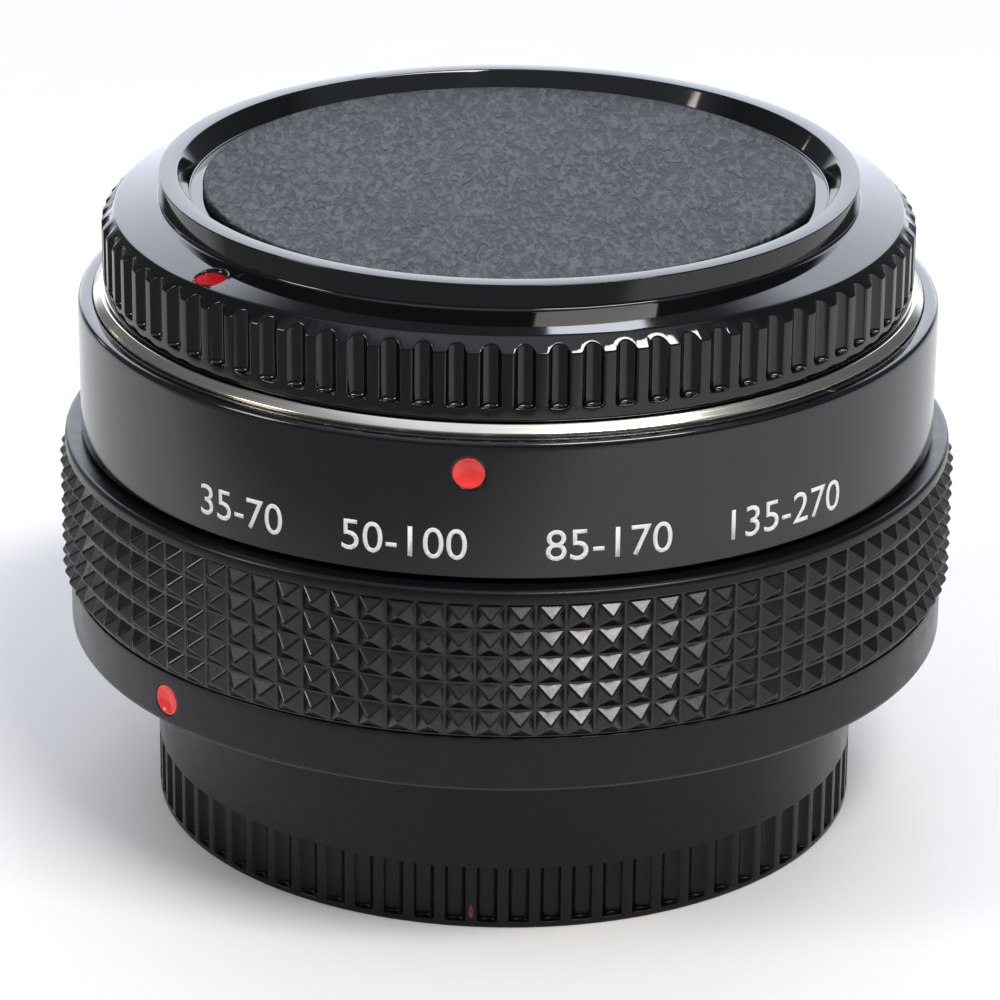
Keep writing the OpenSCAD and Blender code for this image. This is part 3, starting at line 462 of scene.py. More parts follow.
def sink_seat(bm, block, middle, out, onto, rows):
    """Sinks a seat at middle, against the direction out; rows are (radius, depth) from rim to floor."""
    bmesh.ops.delete(bm, geom=block, context="FACES")
    rim = [edge for edge in bm.edges if edge.is_boundary]
    if len(rim) < FINE_RIM:
        cut = bmesh.ops.subdivide_edges(bm, edges=rim, cuts=RIM_CUTS)
        for vert in new_edges_and_verts(cut["geom_inner"])[1]:
            vert.co = onto(vert.co)
        rim = [edge for edge in bm.edges if edge.is_boundary]
    place = Matrix.Translation(middle) @ out.to_track_quat("Z", "Y").to_matrix().to_4x4()
    circle = bmesh.ops.create_circle(bm, segments=len(rim), radius=rows[0][0], matrix=place)["verts"]
    ring = list({edge for vert in circle for edge in vert.link_edges})
    spokes = bmesh.ops.bridge_loops(bm, edges=rim + ring)["edges"]
    for vert in circle:
        vert.co = onto(vert.co)
    cut = bmesh.ops.subdivide_edges(bm, edges=spokes, cuts=PATCH_CUTS)
    for vert in new_edges_and_verts(cut["geom_inner"])[1]:
        vert.co = onto(vert.co)
    ring = [edge for edge in bm.edges if edge.is_boundary]
    for radius, depth in rows[1:]:
        ring, verts = new_edges_and_verts(bmesh.ops.extrude_edge_only(bm, edges=ring)["geom"])
        for vert in verts:
            away = vert.co - middle
            away -= out * away.dot(out)
            vert.co = onto(middle + away.normalized() * radius) - out * depth
    bmesh.ops.edgeloop_fill(bm, edges=ring)
    return len(rim)


def wall_seat(bm, azimuth, radius, height, rows):
    """Sinks a seat into an upright wall of the given radius."""
    for level in (height - SEAT_HALF, height + SEAT_HALF):
        bmesh.ops.bisect_plane(bm, geom=bm.verts[:] + bm.edges[:] + bm.faces[:], plane_co=(0, 0, level),
                               plane_no=AXIS, dist=HAIR)
    out = facing(azimuth) @ Vector((1, 0, 0))
    middle = out * radius + AXIS * height
    block = []
    for face in bm.faces:
        away = face.calc_center_median() - middle
        sideways = out.cross(AXIS).dot(away)
        if max(abs(away.z), abs(sideways)) < SEAT_HALF and abs(away.dot(out)) < SEAT_SKIN:
            block.append(face)

    def onto(point):
        flat = point.to_2d().normalized() * radius
        return Vector((*flat, point.z))
    print("points around the seat:", sink_seat(bm, block, middle, out, onto, rows))


# %% [markdown]
# ## Fluted caps
#
# A fluted cap could be a cylinder with eighty others cut from it. Here one narrow slice is modelled and
# repeated, which keeps the faces even. The slice starts as a flat face in plan: a vertex is spun around the
# flute's own axis for the hollow, then around the cap's axis for half a land on either side. The two edges of
# the flute are rounded by a vertex bevel. What is left of the outline is extruded row by row, and every row
# puts its points at a radius and a height of its own.

# %% Tools for fluted caps
FLUTE_W = mm(1.5)
FLUTE_DEPTH = mm(0.55)
FLUTE_STEPS = 8
FLUTE_EDGE = mm(0.11)


def flute_plan(bm, radius, count):
    """Wire of one flute with half a land on either side; each point remembers its radius."""
    cutter = (FLUTE_DEPTH ** 2 + FLUTE_W ** 2 / 4) / (2 * FLUTE_DEPTH)
    middle = radius - FLUTE_DEPTH + cutter
    swing = math.acos((middle ** 2 + cutter ** 2 - radius ** 2) / (2 * middle * cutter))
    hub = Vector((middle, 0, 0))
    start = bm.verts.new(hub + Vector((-cutter * math.cos(swing), -cutter * math.sin(swing), 0)))
    end = bmesh.ops.spin(bm, geom=[start], cent=hub, axis=-AXIS, angle=2 * swing, steps=FLUTE_STEPS)
    end = end["geom_last"][0]
    half_land = math.pi / count - math.atan2(cutter * math.sin(swing), middle - cutter * math.cos(swing))
    ends = [bmesh.ops.spin(bm, geom=[mark], cent=CENTRE, axis=way, angle=half_land, steps=1)["geom_last"][0]
            for mark, way in ((start, -AXIS), (end, AXIS))]
    inside = bm.verts.new(CENTRE)
    for mark in ends:
        bm.edges.new((mark, inside))
    bmesh.ops.edgeloop_fill(bm, edges=bm.edges[:])
    bmesh.ops.bevel(bm, geom=[start, end], offset=FLUTE_EDGE, offset_type="OFFSET", affect="VERTICES",
                    segments=3, profile=0.5, material=-1)
    bmesh.ops.delete(bm, geom=[inside], context="VERTS")
    plan = bm.verts.layers.float.new("plan_radius")
    for vert in bm.verts:
        vert[plan] = vert.co.to_2d().length
    return bm.edges[:], plan


def slice_rows(bm, radius, count, rows):
    """Builds one slice. A row is a (radius, height) point, or a rule that takes the flute's own radius."""
    edges, plan = flute_plan(bm, radius, count)
    verts = bm.verts[:]
    for number, row in enumerate(rows):
        if number:
            edges, verts = new_edges_and_verts(bmesh.ops.extrude_edge_only(bm, edges=edges)["geom"])
        for vert in verts:
            reach, height = row(vert[plan]) if callable(row) else row
            vert.co = Vector((*(vert.co.to_2d().normalized() * max(reach, HAIR)), height))


def repeat_slice(bm, count):
    """Spins copies of the slice all the way round and joins them."""
    bmesh.ops.rotate(bm, verts=bm.verts[:], cent=CENTRE, matrix=facing(180 / count).to_3x3())
    bmesh.ops.spin(bm, geom=bm.verts[:] + bm.edges[:] + bm.faces[:], cent=CENTRE, axis=AXIS,
                   angle=FULL_TURN, steps=count, use_duplicate=True)
    bmesh.ops.remove_doubles(bm, verts=bm.verts[:], dist=MERGE)


def flute_foot(radius, level, rise, edge_round, floor_round):
    """Rows over the end of the flutes: around the edge of the plain band, then into the hollow's fillet."""
    section = rounded_outline([(0, -rise * mm(1), 0), (0, 0, edge_round), (FLUTE_DEPTH, 0, floor_round),
                               (FLUTE_DEPTH, rise * mm(1), 0)])[1:-1]
    lowest, highest = section[0][1], section[-1][1]

    def rule(inward, up, part):
        even = lowest + (highest - lowest) * part

        def row(flute):
            share = (radius - flute) / FLUTE_DEPTH
            return radius - share * inward, level + share * up + (1 - share) * even
        return row
    return [rule(inward, up, i / (len(section) - 1)) for i, (inward, up) in enumerate(section)]


# %% [markdown]
# ## Front cap
#
# The flutes of the front cap start above a plain band and run out through the chamfer. Above the chamfer the
# shoulder slopes up to the rim, whose inner wall leans outwards and holds the inlay at its foot. The flat
# parts share one rounded outline, and only the rows between the band and the chamfer follow the flutes.

# %% Front cap, from its foot to its crown
CAP_FLUTES = 80
SHOULDER_ROWS = 8
cap_r, cap_low, cap_top = outer_radius("front_cap"), low("front_cap"), top("front_cap")
cap_bore = mm(27.6)
band_top = cap_low + mm(0.9)
chamfer, chamfer_low = mm(0.92), cap_low + mm(4.75)
chamfer_top, shoulder_r = chamfer_low + chamfer, cap_r - chamfer
rim_r, rim_bore, rim_foot = mm(24.8), mm(23.5), cap_top - mm(1.72)
wall_foot_r = mm(22.65)
recess_floor = cap_top - mm(1.34)
cap_ceiling = recess_floor - mm(2)
inlay_r, inlay_low, inlay_top = outer_radius("front_cap_inlay"), low("front_cap_inlay"), top("front_cap_inlay")
lip_round, bore_round, step_round = mm(0.08), mm(0.06), mm(0.03)
shoulder_slope = (rim_foot - chamfer_top) / (shoulder_r - rim_r)


def shoulder_height(radius):
    return chamfer_top + (shoulder_r - radius) * shoulder_slope


def arris_row(inward, up):
    """Row where a flute's wall rolls over into the chamfer."""
    return lambda flute: (flute + inward, chamfer_low + cap_r - flute + up)


def wall_row(share):
    """Row on the rim's sloping inner wall, which keeps its shading flat."""
    return (rim_bore + (wall_foot_r - rim_bore) * share, cap_top + (recess_floor - cap_top) * share, 0)


foot = rounded_outline([(0, cap_ceiling, 0), (cap_bore, cap_ceiling, 0), (cap_bore, cap_low, mm(0.15)),
                        (cap_r, cap_low, mm(0.12)), (cap_r, band_top, 0)])[:-1]
arris = rounded_outline([(0, -mm(1), 0), (0, 0, lip_round), (-mm(1), mm(1), 0)])[1:-1]
crown = rounded_outline([
    (cap_r, chamfer_low, 0), (shoulder_r, chamfer_top, lip_round), (rim_r, rim_foot, mm(0.2)),
    (rim_r, cap_top, lip_round), (rim_bore, cap_top, bore_round), wall_row(0.12), wall_row(0.88),
    (wall_foot_r, recess_floor, step_round), (wall_foot_r - mm(0.08), recess_floor, step_round),
    (wall_foot_r - mm(0.1), inlay_low, 0),
    (wall_foot_r - mm(0.14), inlay_low, 0), (inlay_r - mm(0.5), inlay_low, 0), (0, inlay_low, 0),
    (0, chamfer_low, 0)])[1:-1]
edge_points, crown_points = crown[:ROUND_SEGMENTS + 1], crown[ROUND_SEGMENTS + 1:]
shoulder_out, shoulder_in = shoulder_r - mm(0.3), rim_r + mm(0.35)
shoulder_steps = [shoulder_out + (shoulder_in - shoulder_out) * i / SHOULDER_ROWS
                  for i in range(SHOULDER_ROWS + 1)]
cap_rows = [*foot, *flute_foot(cap_r, band_top, 1, edge_round=mm(0.08), floor_round=mm(0.34)),
            *[arris_row(*point) for point in arris], *edge_points,
            *[(radius, shoulder_height(radius)) for radius in shoulder_steps], *crown_points]
bm = bmesh.new()
slice_rows(bm, cap_r, CAP_FLUTES, cap_rows)
repeat_slice(bm, CAP_FLUTES)
print("rows of a slice:", len(cap_rows))

# %% Dimple of the front cap's mark
mark_azimuth, mark_out, mark_r, mark_clear = -48.75, mm(26.78), mm(1.13), mm(1.55)
mark_middle = facing(mark_azimuth) @ Vector((mark_out, 0, 0))
mark_middle.z = shoulder_height(mark_middle.length)


def onto_shoulder(point):
    """Moves a point up or down onto the shoulder's slope."""
    flat = point.to_2d()
    return Vector((*flat, shoulder_height(flat.length)))


block = []
for face in bm.faces:
    middle = face.calc_center_median()
    radius = middle.to_2d().length
    sideways = math.atan2(*middle.to_2d()) - math.atan2(*mark_middle.to_2d())
    if middle.z > chamfer_top and shoulder_in < radius < shoulder_out and abs(sideways) * radius < mark_clear:
        block.append(face)
sink_seat(bm, block, mark_middle, AXIS, onto_shoulder,
          [(mark_r + mm(0.05), 0), (mark_r + mm(0.015), mm(0.015)), (mark_r, mm(0.05)), (mark_r, mm(0.46))])
lug_ring(bm, mm(25.7), cap_bore + mm(0.2), cap_low + mm(0.49), cap_low + mm(1.44))
make_piece(bm, "front_cap_moulding", gloss_plastic, "front_cap", ["front_cap"])

# %% [markdown]
# ## Inlay and mark of the front cap
#
# The inlay is a thin disc with a rolled edge. The mark is paint that has pooled in the dimple, so its face
# dips in the middle and climbs at the edge.

# %% Inlay and mark of the front cap
PAINT_STEPS = 64
bm = bmesh.new()
spin_outline(bm, [(0, inlay_low, 0), (inlay_r, inlay_low, 0), (inlay_r, inlay_top, mm(0.2)), (0, inlay_top, 0)])
make_piece(bm, "front_cap_grained_disc", grained_plastic, "front_cap", ["front_cap_inlay"])

bm = bmesh.new()
paint_r = mark_r - mm(0.01)
spin_outline(bm, [(0, 0, 0), (paint_r, 0, 0), (paint_r, mm(0.24), mm(0.02)),
                  (paint_r - mm(0.12), mm(0.17), mm(0.05)), (0, mm(0.15), 0)], steps=PAINT_STEPS)
bmesh.ops.translate(bm, verts=bm.verts[:], vec=Vector((*mark_middle.to_2d(), low("front_cap_mark"))))
make_piece(bm, "front_cap_paint", red_finishes["red_mark_paint"], "front_cap", ["front_cap_mark"])

# %% [markdown]
# ## Bright flange
#
# Only the broad chamfer of the front mount shows, between cap and barrel. Its solid already has that form,
# but comes as loose triangles. A merged copy gets a small bevel, because the arris of a turned chamfer
# always catches the light.

# %% Bright flange
ARRIS_BEND = math.radians(28)
bm = bmesh.new()
bm.from_mesh(frame["nodes"]["front_mount"].data)
bmesh.ops.remove_doubles(bm, verts=bm.verts[:], dist=mm(0.0005))
chamfer_in = outer_radius("front_mount") - mm(0.7)
arrises = [edge for edge in bm.edges if len(edge.link_faces) == 2 and edge.calc_face_angle() > ARRIS_BEND
           and all(vert.co.to_2d().length > chamfer_in for vert in edge.verts)]
bmesh.ops.bevel(bm, geom=arrises, offset=mm(0.06), offset_type="OFFSET", affect="EDGES", segments=2,
                profile=0.5, material=-1, clamp_overlap=True)
make_piece(bm, "bright_flange", bright_chrome, "converter", ["front_mount"])

# %% [markdown]
# ## Barrel sleeve and its dot
#
# The sleeve is a turned ring with a rolled upper edge. The index dot lies in a seat: a plug of red enamel
# with a hollow face, whose profile is an arc drawn by spinning a vertex around the middle of a sphere.

# %% Barrel sleeve
barrel_low, barrel_top = low("barrel_sleeve"), top("barrel_sleeve")
barrel_r, barrel_bore = outer_radius("barrel_sleeve"), mm(29.65)
rib_r, rib_top = mm(28.55), low("front_mount")
rib_low = rib_top - mm(0.8)
DOT_SEAT = [(mm(1.18), 0), (mm(1.13), mm(0.015)), (mm(1.12), mm(0.06)), (mm(1.12), mm(0.6))]
dot_height = middle_height("index_dot")
DOT_AZIMUTH = -4.75
bm = bmesh.new()
spin_outline(bm, [(barrel_bore, barrel_low, mm(0.1)), (barrel_r, barrel_low, mm(0.12)),
                  (barrel_r, barrel_top, mm(0.4)), (barrel_bore, barrel_top, mm(0.1)), (barrel_bore, rib_top, 0),
                  (rib_r, rib_top, 0), (rib_r, rib_low, 0), (barrel_bore, rib_low, 0)])
wall_seat(bm, DOT_AZIMUTH, barrel_r, dot_height, DOT_SEAT)
make_piece(bm, "enamelled_sleeve", barrel_enamel, "converter", ["barrel_sleeve"])


# %% Index dots
HOLLOW_STEPS, DOT_STEPS = 10, 48


def red_dot(name, azimuth, radius, height, body, node):
    """Plug of red enamel with a hollow face, set just below a wall of the given radius."""
    dot_r, hollow_r, hollow, depth, rim_step = mm(1.09), mm(1.0), mm(0.35), mm(0.55), mm(0.02)
    ball = (hollow_r ** 2 + hollow ** 2) / (2 * hollow)
    bm = bmesh.new()
    start = bm.verts.new((0, 0, -hollow - rim_step))
    arc = bmesh.ops.spin(bm, geom=[start], cent=(0, 0, ball - hollow - rim_step), axis=(0, -1, 0),
                         angle=math.asin(hollow_r / ball), steps=HOLLOW_STEPS)
    end = arc["geom_last"][0]
    for across, up in ((hollow_r + mm(0.05), -rim_step), (dot_r, -rim_step - mm(0.03)), (dot_r, -depth)):
        end = new_edges_and_verts(bmesh.ops.extrude_vert_indiv(bm, verts=[end])["verts"])[1][0]
        end.co = Vector((across, 0, up))
    bmesh.ops.spin(bm, geom=bm.verts[:] + bm.edges[:], cent=CENTRE, axis=AXIS, angle=FULL_TURN, steps=DOT_STEPS,
                   use_merge=True)
    bmesh.ops.edgeloop_fill(bm, edges=[edge for edge in bm.edges if edge.is_boundary
                                       and edge.verts[0].co.z < -depth + mm(0.01)])
    stand = facing(azimuth) @ Matrix.Translation((radius, 0, height)) @ Matrix.Rotation(math.pi / 2, 4, "Y")
    bmesh.ops.transform(bm, matrix=stand, verts=bm.verts[:])
    make_piece(bm, name, red_finishes["red_dot_enamel"], body, [node])


red_dot("barrel_index_dot", DOT_AZIMUTH, barrel_r, dot_height, "converter", "index_dot")

# %% [markdown]
# ## Numbers on the barrel
#
# Plain numbers stand where the barrel is printed. Text is turned into a flat mesh, cut into narrow strips so
# that it can bend, given a little thickness, and then wrapped around the barrel. A decal image would be
# easier, but it would need a file and would blur close up.

# %% Numbers on the barrel
NUMBER_H = mm(2.2)
NUMBER_BASE = barrel_low + mm(1.35)
PRINT_T = mm(0.03)
STRIP_W = mm(0.4)
DIGIT_SHARE = 0.7
SUNK = PRINT_T / 3


def printed_number(bm, words, azimuth):
    """Adds one number to the mesh, wrapped on the barrel around an azimuth."""
    curve = bpy.data.curves.new("number", "FONT")
    curve.body = words
    curve.size = NUMBER_H / DIGIT_SHARE
    curve.align_x = "CENTER"
    letters = bpy.data.objects.new("number", curve)
    bpy.context.collection.objects.link(letters)
    bpy.context.view_layer.update()
    flat = letters.evaluated_get(bpy.context.evaluated_depsgraph_get()).to_mesh()
    ink = bmesh.new()
    ink.from_mesh(flat)
    bmesh.ops.remove_doubles(ink, verts=ink.verts[:], dist=mm(0.0005))
    reach = max(abs(vert.co.x) for vert in ink.verts)
    for i in range(int(-reach / STRIP_W), int(reach / STRIP_W) + 1):
        bmesh.ops.bisect_plane(ink, geom=ink.verts[:] + ink.edges[:] + ink.faces[:],
                               plane_co=(i * STRIP_W, 0, 0), plane_no=(1, 0, 0), dist=HAIR)
    raised = bmesh.ops.extrude_face_region(ink, geom=ink.faces[:])["geom"]
    bmesh.ops.translate(ink, verts=new_edges_and_verts(raised)[1], vec=(0, 0, PRINT_T))
    turn = facing(azimuth)
    for vert in ink.verts:
        angle = vert.co.x / barrel_r
        out = barrel_r + vert.co.z - SUNK
        vert.co = turn @ Vector((out * math.cos(angle), out * math.sin(angle), NUMBER_BASE + vert.co.y))
    wrapped = bpy.data.meshes.new("number")
    ink.to_mesh(wrapped)
    ink.free()
    bm.from_mesh(wrapped)
    bpy.data.meshes.remove(wrapped)
    bpy.data.objects.remove(letters)
    bpy.data.curves.remove(curve)


bm = bmesh.new()
for words, azimuth in (("35-70", -36), ("50-100", -13), ("85-170", 13), ("135-270", 38)):
    printed_number(bm, words, azimuth)
make_piece(bm, "barrel_numbers", white_print, "converter")

# %% [markdown]
# ## Lock ring
#
# One outline gives the lip, the seat of the grip band, the skirt with its well rounded lower edge, and the
# inner flange. Three lugs stand inside, and the ring's own dot lies in a seat in the skirt.

# %% Lock ring
RING_TURN = 43
ring_low, ring_top, ring_r = low("lock_ring"), top("lock_ring"), outer_radius("lock_ring")
skirt_r = ring_r - mm(0.2)
grip_gap, grip_seat_r = mm(0.1), mm(30.75)
grip_seat_low, grip_seat_top = low("grip_band") - grip_gap, top("grip_band") + grip_gap
ring_bore, lower_bore = mm(29.68), mm(28.4)
flange_r, flange_low, flange_top = mm(26.48), ring_low + mm(4.5), ring_low + mm(5.3)
ring_dot_height = middle_height("lock_ring_dot")
ring_dot_azimuth = DOT_AZIMUTH - RING_TURN
bm = bmesh.new()
spin_outline(bm, [
    (lower_bore, ring_low, mm(0.1)), (skirt_r, ring_low, mm(0.62)), (skirt_r, grip_seat_low, mm(0.1)),
    (grip_seat_r, grip_seat_low, 0), (grip_seat_r, grip_seat_top, 0), (ring_r, grip_seat_top, mm(0.06)),
    (ring_r, ring_top, mm(0.38)), (ring_bore, ring_top, mm(0.1)), (ring_bore, flange_top, 0),
    (flange_r, flange_top, 0), (flange_r, flange_low, 0), (lower_bore, flange_low, 0)])
wall_seat(bm, ring_dot_azimuth, skirt_r, ring_dot_height, DOT_SEAT)
lug_ring(bm, mm(25.98), lower_bore + mm(0.2), ring_low + mm(0.3), ring_low + mm(1.6))
make_piece(bm, "lock_ring_body", ring_black, "lock_ring", ["lock_ring"])
red_dot("lock_ring_index_dot", ring_dot_azimuth, skirt_r, ring_dot_height, "lock_ring", "lock_ring_dot")

# %% [markdown]
# ## Grip band
#
# The band is 98 columns of five blunt pyramids with narrow flat grooves between them. One tile is inset for
# its groove and poked in its middle, and the new point is raised. The ridges are rounded by a bevel, the tile
# is stacked into a column, and the column is spun around the ring. The facets have to stay flat mirrors, so
# all but the slightest bends between faces are kept sharp.

# %% Grip band
GRIP_COLUMNS, GRIP_ROWS = 98, 5
GROOVE_W = mm(0.16)
PEAK_H = mm(0.77)
RIDGE_ROUND = mm(0.12)
FACET_BEND = 8
TIP_GAP = mm(0.005)
grip_low, grip_top = low("grip_band"), top("grip_band")
tip_r, grip_bore = outer_radius("grip_band"), mm(30.8)
tile_h, tile_w = (grip_top - grip_low) / GRIP_ROWS, FULL_TURN * (tip_r - PEAK_H) / GRIP_COLUMNS
bm = bmesh.new()
bmesh.ops.create_grid(bm, x_segments=1, y_segments=1, size=0.5)
bmesh.ops.scale(bm, verts=bm.verts[:], vec=(tile_w, tile_h, 1))
tile = bm.faces[:][0]
bmesh.ops.inset_individual(bm, faces=[tile], thickness=GROOVE_W / 2, use_even_offset=True)
peak = bmesh.ops.poke(bm, faces=[tile])["verts"][0]
peak.co.z = PEAK_H
bmesh.ops.bevel(bm, geom=peak.link_edges[:], offset=RIDGE_ROUND, offset_type="OFFSET", affect="EDGES",
                segments=3, profile=0.5, material=-1, clamp_overlap=True)
groove_r = tip_r - TIP_GAP - max(vert.co.z for vert in bm.verts)
print("faces of a tile:", len(bm.faces), "grooves at radius", round(groove_r * 1000, 3), "mm")
tile_geom = bm.verts[:] + bm.edges[:] + bm.faces[:]
for row in range(1, GRIP_ROWS):
    copy = bmesh.ops.duplicate(bm, geom=tile_geom)["geom"]
    bmesh.ops.translate(bm, verts=new_edges_and_verts(copy)[1], vec=(0, row * tile_h, 0))
for vert in bm.verts:
    angle = vert.co.x / tile_w * FULL_TURN / GRIP_COLUMNS
    out = groove_r + vert.co.z
    vert.co = Vector((out * math.cos(angle), out * math.sin(angle), grip_low + tile_h / 2 + vert.co.y))
bmesh.ops.remove_doubles(bm, verts=bm.verts[:], dist=MERGE)
for height in (grip_low, grip_top):
    rim = [edge for edge in bm.edges if all(abs(vert.co.z - height) < mm(0.01) for vert in edge.verts)]
    for vert in new_edges_and_verts(bmesh.ops.extrude_edge_only(bm, edges=rim)["geom"])[1]:
        vert.co = Vector((*(vert.co.to_2d().normalized() * grip_bore), height))
bmesh.ops.rotate(bm, verts=bm.verts[:], cent=CENTRE, matrix=facing(180 / GRIP_COLUMNS).to_3x3())
bmesh.ops.spin(bm, geom=bm.verts[:] + bm.edges[:] + bm.faces[:], cent=CENTRE, axis=AXIS, angle=FULL_TURN,
               steps=GRIP_COLUMNS, use_duplicate=True)
bmesh.ops.remove_doubles(bm, verts=bm.verts[:], dist=MERGE)
bmesh.ops.bridge_loops(bm, edges=[edge for edge in bm.edges if edge.is_boundary])
make_piece(bm, "pyramid_grip", grip_plastic, "lock_ring", ["grip_band"], crease=FACET_BEND)

# %% [markdown]
# ## Rear cap
#
# The rear cap has the same flutes at its foot. They end under the plain wall, and a thin rim closes them at
# the bottom, so the rows run the other way: over the upper end of the flutes, down to the rim and around it.
# A drop of dull red paint has run down one of the lands. It is a ball that is pressed flat and drawn out.

# %% Rear cap
REAR_FLUTES = 72
rear_r, rear_bore, rear_top = mm(25.48), mm(23.8), top("rear_cap")
rear_floor, base_recess, base_recess_r = mm(2.1), mm(0.5), mm(22.28)
rear_flute_top = mm(4.6)
draft, draft_from = mm(0.08), mm(5.0)
foot_rim, foot_round = mm(0.45), mm(0.16)
end_round, fillet = mm(0.08), mm(0.1)
rear_inside = rounded_outline([
    (0, rear_floor, 0), (rear_bore, rear_floor, mm(0.5)), (rear_bore, rear_top, mm(0.2)),
    (rear_r - draft, rear_top, mm(0.2)), (rear_r, draft_from, 0)])
base_points = rounded_outline([(rear_r, foot_rim, 0), (rear_r, 0, foot_round), (base_recess_r, 0, mm(0.15)),
                               (base_recess_r, base_recess, 0), (0, base_recess, 0)])[1:]
rear_rows = [*rear_inside, *flute_foot(rear_r, rear_flute_top, -1, end_round, fillet),
             *reversed(flute_foot(rear_r, foot_rim, 1, end_round, fillet)), *base_points]
bm = bmesh.new()
slice_rows(bm, rear_r, REAR_FLUTES, rear_rows)
repeat_slice(bm, REAR_FLUTES)
lug_ring(bm, rear_r - mm(0.3), mm(27.9), ring_low + mm(1.9), ring_low + mm(2.95))
make_piece(bm, "rear_cap_moulding", satin_plastic, "rear_cap", ["rear_cap"])

# %% Drop of paint on the rear cap
DROP_PROUD, DROP_HALF_W, DROP_HALF_H = mm(0.07), mm(0.24), mm(0.62)
DROP_HEIGHT, DROP_TAPER = mm(1.25), 0.28
bm = bmesh.new()
bmesh.ops.create_uvsphere(bm, u_segments=24, v_segments=16, radius=1)
for vert in bm.verts:
    vert.co.y *= 1 - DROP_TAPER - DROP_TAPER * vert.co.z
bmesh.ops.scale(bm, verts=bm.verts[:], vec=(DROP_PROUD * 2, DROP_HALF_W, DROP_HALF_H))
bmesh.ops.translate(bm, verts=bm.verts[:], vec=(rear_r - DROP_PROUD, 0, DROP_HEIGHT))
bmesh.ops.transform(bm, verts=bm.verts[:], matrix=facing(-360 / REAR_FLUTES))
make_piece(bm, "rear_cap_paint", red_finishes["dull_red_paint"], "rear_cap",
           ["rear_cap_mark"])

# %% [markdown]
# ## Finishes of the solids that stay
#
# Every solid that no new piece replaces keeps its mesh and gets the finish of its slot.

# %% Finishes of the solids that stay
slot_finish = {
    "black_casting": inner_finishes["matt_black_casting"],
    "black_anodised": inner_finishes["black_anodised_aluminium"],
    "black_enamel": barrel_enamel,
    "chromed_brass": bright_chrome,
    "steel": inner_finishes["bright_steel"],
    "brass_ring": inner_finishes["turned_brass"],
    "optical_glass": coated_glass,
    "moulded_grip": grip_plastic,
    "gloss_cap": gloss_plastic,
    "satin_cap": satin_plastic,
    "grained_inlay": grained_plastic,
    "red_dot": red_finishes["red_dot_enamel"],
    "red_paint": red_finishes["red_mark_paint"],
    "dull_red_paint": red_finishes["dull_red_paint"],
}
for subpart in frame["record"]["subparts"]:
    solid = frame["nodes"][subpart["node"]]
    solid.data.materials.clear()
    solid.data.materials.append(slot_finish[subpart["material_slot"]])

# %% [markdown]
# ## Floor, light and camera
#
# The object stands on white paper. A wide, low panel lights it from high at the front right, and a squarer
# one from the left. Two small ones behind it only leave glints. Black pieces show mostly what they mirror, so
# the surround matters as much as the lamps. The room is bright low down behind the object, dim around it, and
# a little brighter overhead and under the ceiling in front. A hand's width to the front left of the object, out
# of the picture, the paper is painted grey beyond a soft line: painted shade, which the dark walls mirror.

# %% Floor
FLOOR_HALF = 1.5
# Where the painted shade on the floor begins, and how soft its line is.
SHADE_LINE, SHADE_BLUR = mm(88), mm(20)
SHADE_SIDE = facing(-36) @ Vector((1, 0, 0))
floor_mesh = bpy.data.meshes.new("studio_floor")
bm = bmesh.new()
bmesh.ops.create_grid(bm, x_segments=2, y_segments=2, size=FLOOR_HALF)
bmesh.ops.translate(bm, verts=bm.verts[:], vec=(0, 0, cad_box[0][2]))
bm.to_mesh(floor_mesh)
bm.free()
floor = bpy.data.objects.new("studio_floor", floor_mesh)
bpy.context.collection.objects.link(floor)
paper_with_painted_shade, tree, shader, place = new_finish("white_paper_painted_shade", Roughness=0.9)
tone = mottled(tree, place, 40, "#f6f7f7", "#fbfbfb")
# Beyond a soft line to the front left the paper is painted grey: painted shade.
towards = add_node(tree, "ShaderNodeVectorMath", {"operation": "DOT_PRODUCT", 1: SHADE_SIDE}, {0: place})
painted_shade = add_node(tree, "ShaderNodeMapRange",
                {"From Min": SHADE_LINE - SHADE_BLUR, "From Max": SHADE_LINE + SHADE_BLUR},
                {"Value": towards.outputs["Value"]})
tone = add_node(tree, "ShaderNodeMix", {"data_type": "RGBA", 7: linear("#87898b")},
                {0: painted_shade.outputs["Result"], 6: tone})
tree.links.new(tone.outputs[2], shader.inputs["Base Color"])
floor_mesh.materials.append(paper_with_painted_shade)


# %% Lights
PANEL_DISTANCE = 0.8
AIM = Vector((0, 0, mm(30)))


def soft_panel(name, tone, radiance, width, height, azimuth, elevation):
    """Area light that faces the object, with its power worked out from how bright it looks."""
    lamp = bpy.data.lights.new(name, "AREA")
    lamp.shape = "RECTANGLE"
    lamp.size = width
    lamp.size_y = height
    lamp.energy = radiance * math.pi * width * height
    lamp.color = linear(tone)[:3]
    panel = bpy.data.objects.new(name, lamp)
    bpy.context.collection.objects.link(panel)
    flat = facing(azimuth) @ Vector((math.cos(math.radians(elevation)), 0, 0))
    direction = flat + AXIS * math.sin(math.radians(elevation))
    panel.matrix_world = Matrix.Translation(AIM + direction * PANEL_DISTANCE) @ \
        direction.to_track_quat("Z", "Y").to_matrix().to_4x4()
    print(name, "power:", round(lamp.energy, 2), "W")
    return panel


key = soft_panel("key_panel", "#fffaf4", 25.0, 0.42, 0.12, 39, 57)
strip = soft_panel("left_strip", "#fff6ea", 11.0, 0.2, 0.24, -72, 29.5)
lamp = soft_panel("left_lamp", "#fff3e2", 8.0, 0.06, 0.045, -131, 13)
window = soft_panel("back_window", "#eef2fc", 9.0, 0.066, 0.09, 173.2, 46.3)

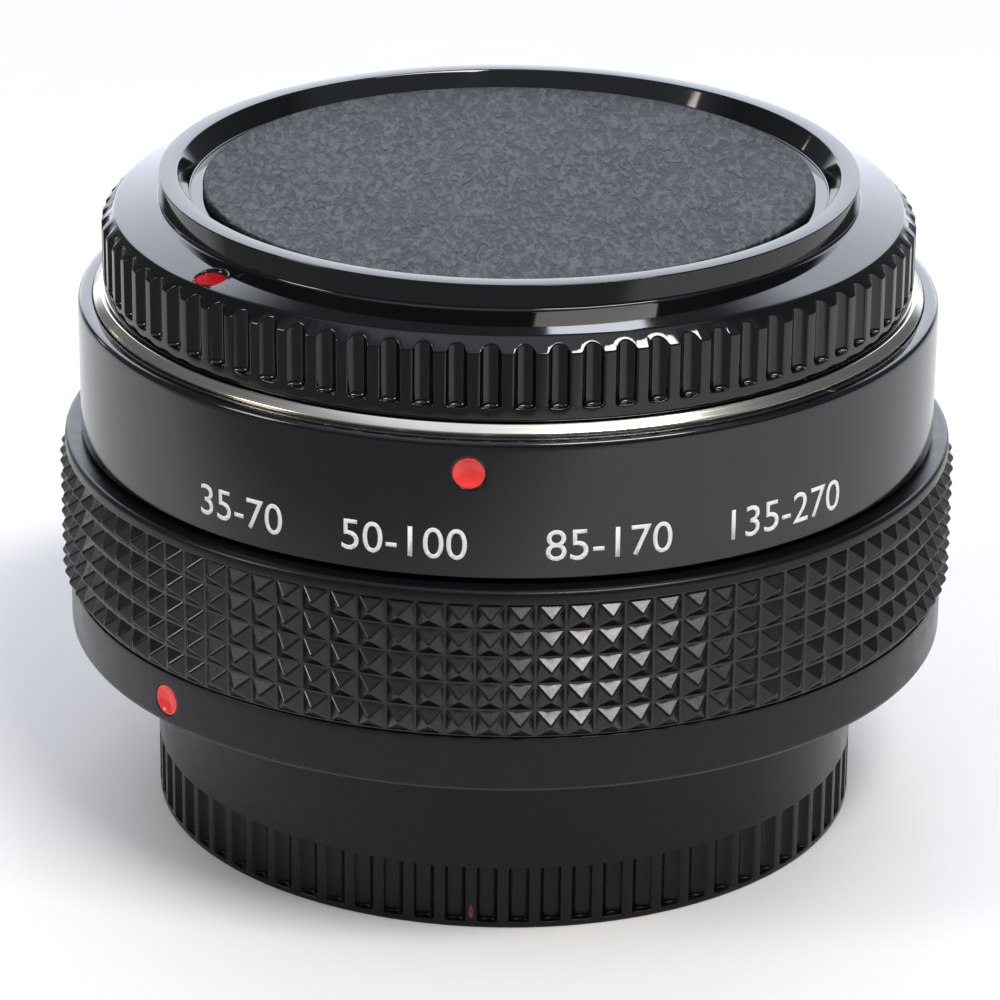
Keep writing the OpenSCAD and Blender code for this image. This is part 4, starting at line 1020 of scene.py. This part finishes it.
# %% Surround
DIM, OVERHEAD, BEHIND, CEILING = 0.18, 0.8, 3.0, 0.32
world = bpy.data.worlds.new("studio_surround")
bpy.context.scene.world = world
world.use_nodes = True
tree = world.node_tree
sky = add_node(tree, "ShaderNodeTexCoord").outputs["Generated"]
parts = add_node(tree, "ShaderNodeSeparateXYZ", links={"Vector": sky})


def sky_patch(*edges):
    """Share that is 1 within soft edges; an edge is (axis, where it starts, where it is 1)."""
    return overlap(tree, *[add_node(tree, "ShaderNodeMapRange",
                                    {"From Min": start, "From Max": stop, "interpolation_type": "SMOOTHSTEP"},
                                    {"Value": parts.outputs[axis]}).outputs["Result"]
                           for axis, start, stop in edges])


behind = sky_patch(("Y", 0.5, 0.62), ("Z", 0.66, 0.56), ("X", -0.56, -0.4), ("X", 0.56, 0.4))
ceiling = sky_patch(("Y", 0.1, -0.15), ("Z", 0.4, 0.6))
overhead = sky_patch(("Z", 0.82, 0.92))
strength = add_node(tree, "ShaderNodeMath", {"operation": "MULTIPLY_ADD", 1: BEHIND, 2: DIM},
                    {0: behind}).outputs[0]
for share, radiance in ((overhead, OVERHEAD), (ceiling, CEILING)):
    strength = add_node(tree, "ShaderNodeMath", {"operation": "MULTIPLY_ADD", 1: radiance},
                        {0: share, 2: strength}).outputs[0]
tree.nodes["Background"].inputs["Color"].default_value = linear("#e8eefa")
tree.links.new(strength, tree.nodes["Background"].inputs["Strength"])

# %% Camera
camera_data = bpy.data.cameras.new("photo_camera")
camera_data.sensor_width = 36.0
camera_data.lens = 174.86
camera_data.clip_start = 0.01
camera = bpy.data.objects.new("photo_camera", camera_data)
bpy.context.collection.objects.link(camera)
bpy.context.scene.camera = camera
elevation, roll, distance = math.radians(22.194), math.radians(0.519), mm(353.53)
target = Vector((mm(-0.452), 0, mm(21.796)))
back = Vector((0, -math.cos(elevation), math.sin(elevation)))
right = Vector((1, 0, 0))
up = back.cross(right)
right, up = (math.cos(roll) * right + math.sin(roll) * up, math.cos(roll) * up - math.sin(roll) * right)
camera.matrix_world = Matrix.Translation(target + back * distance) @ \
    Matrix((right, up, back)).transposed().to_4x4()
bpy.context.scene.view_settings.view_transform = "Standard"
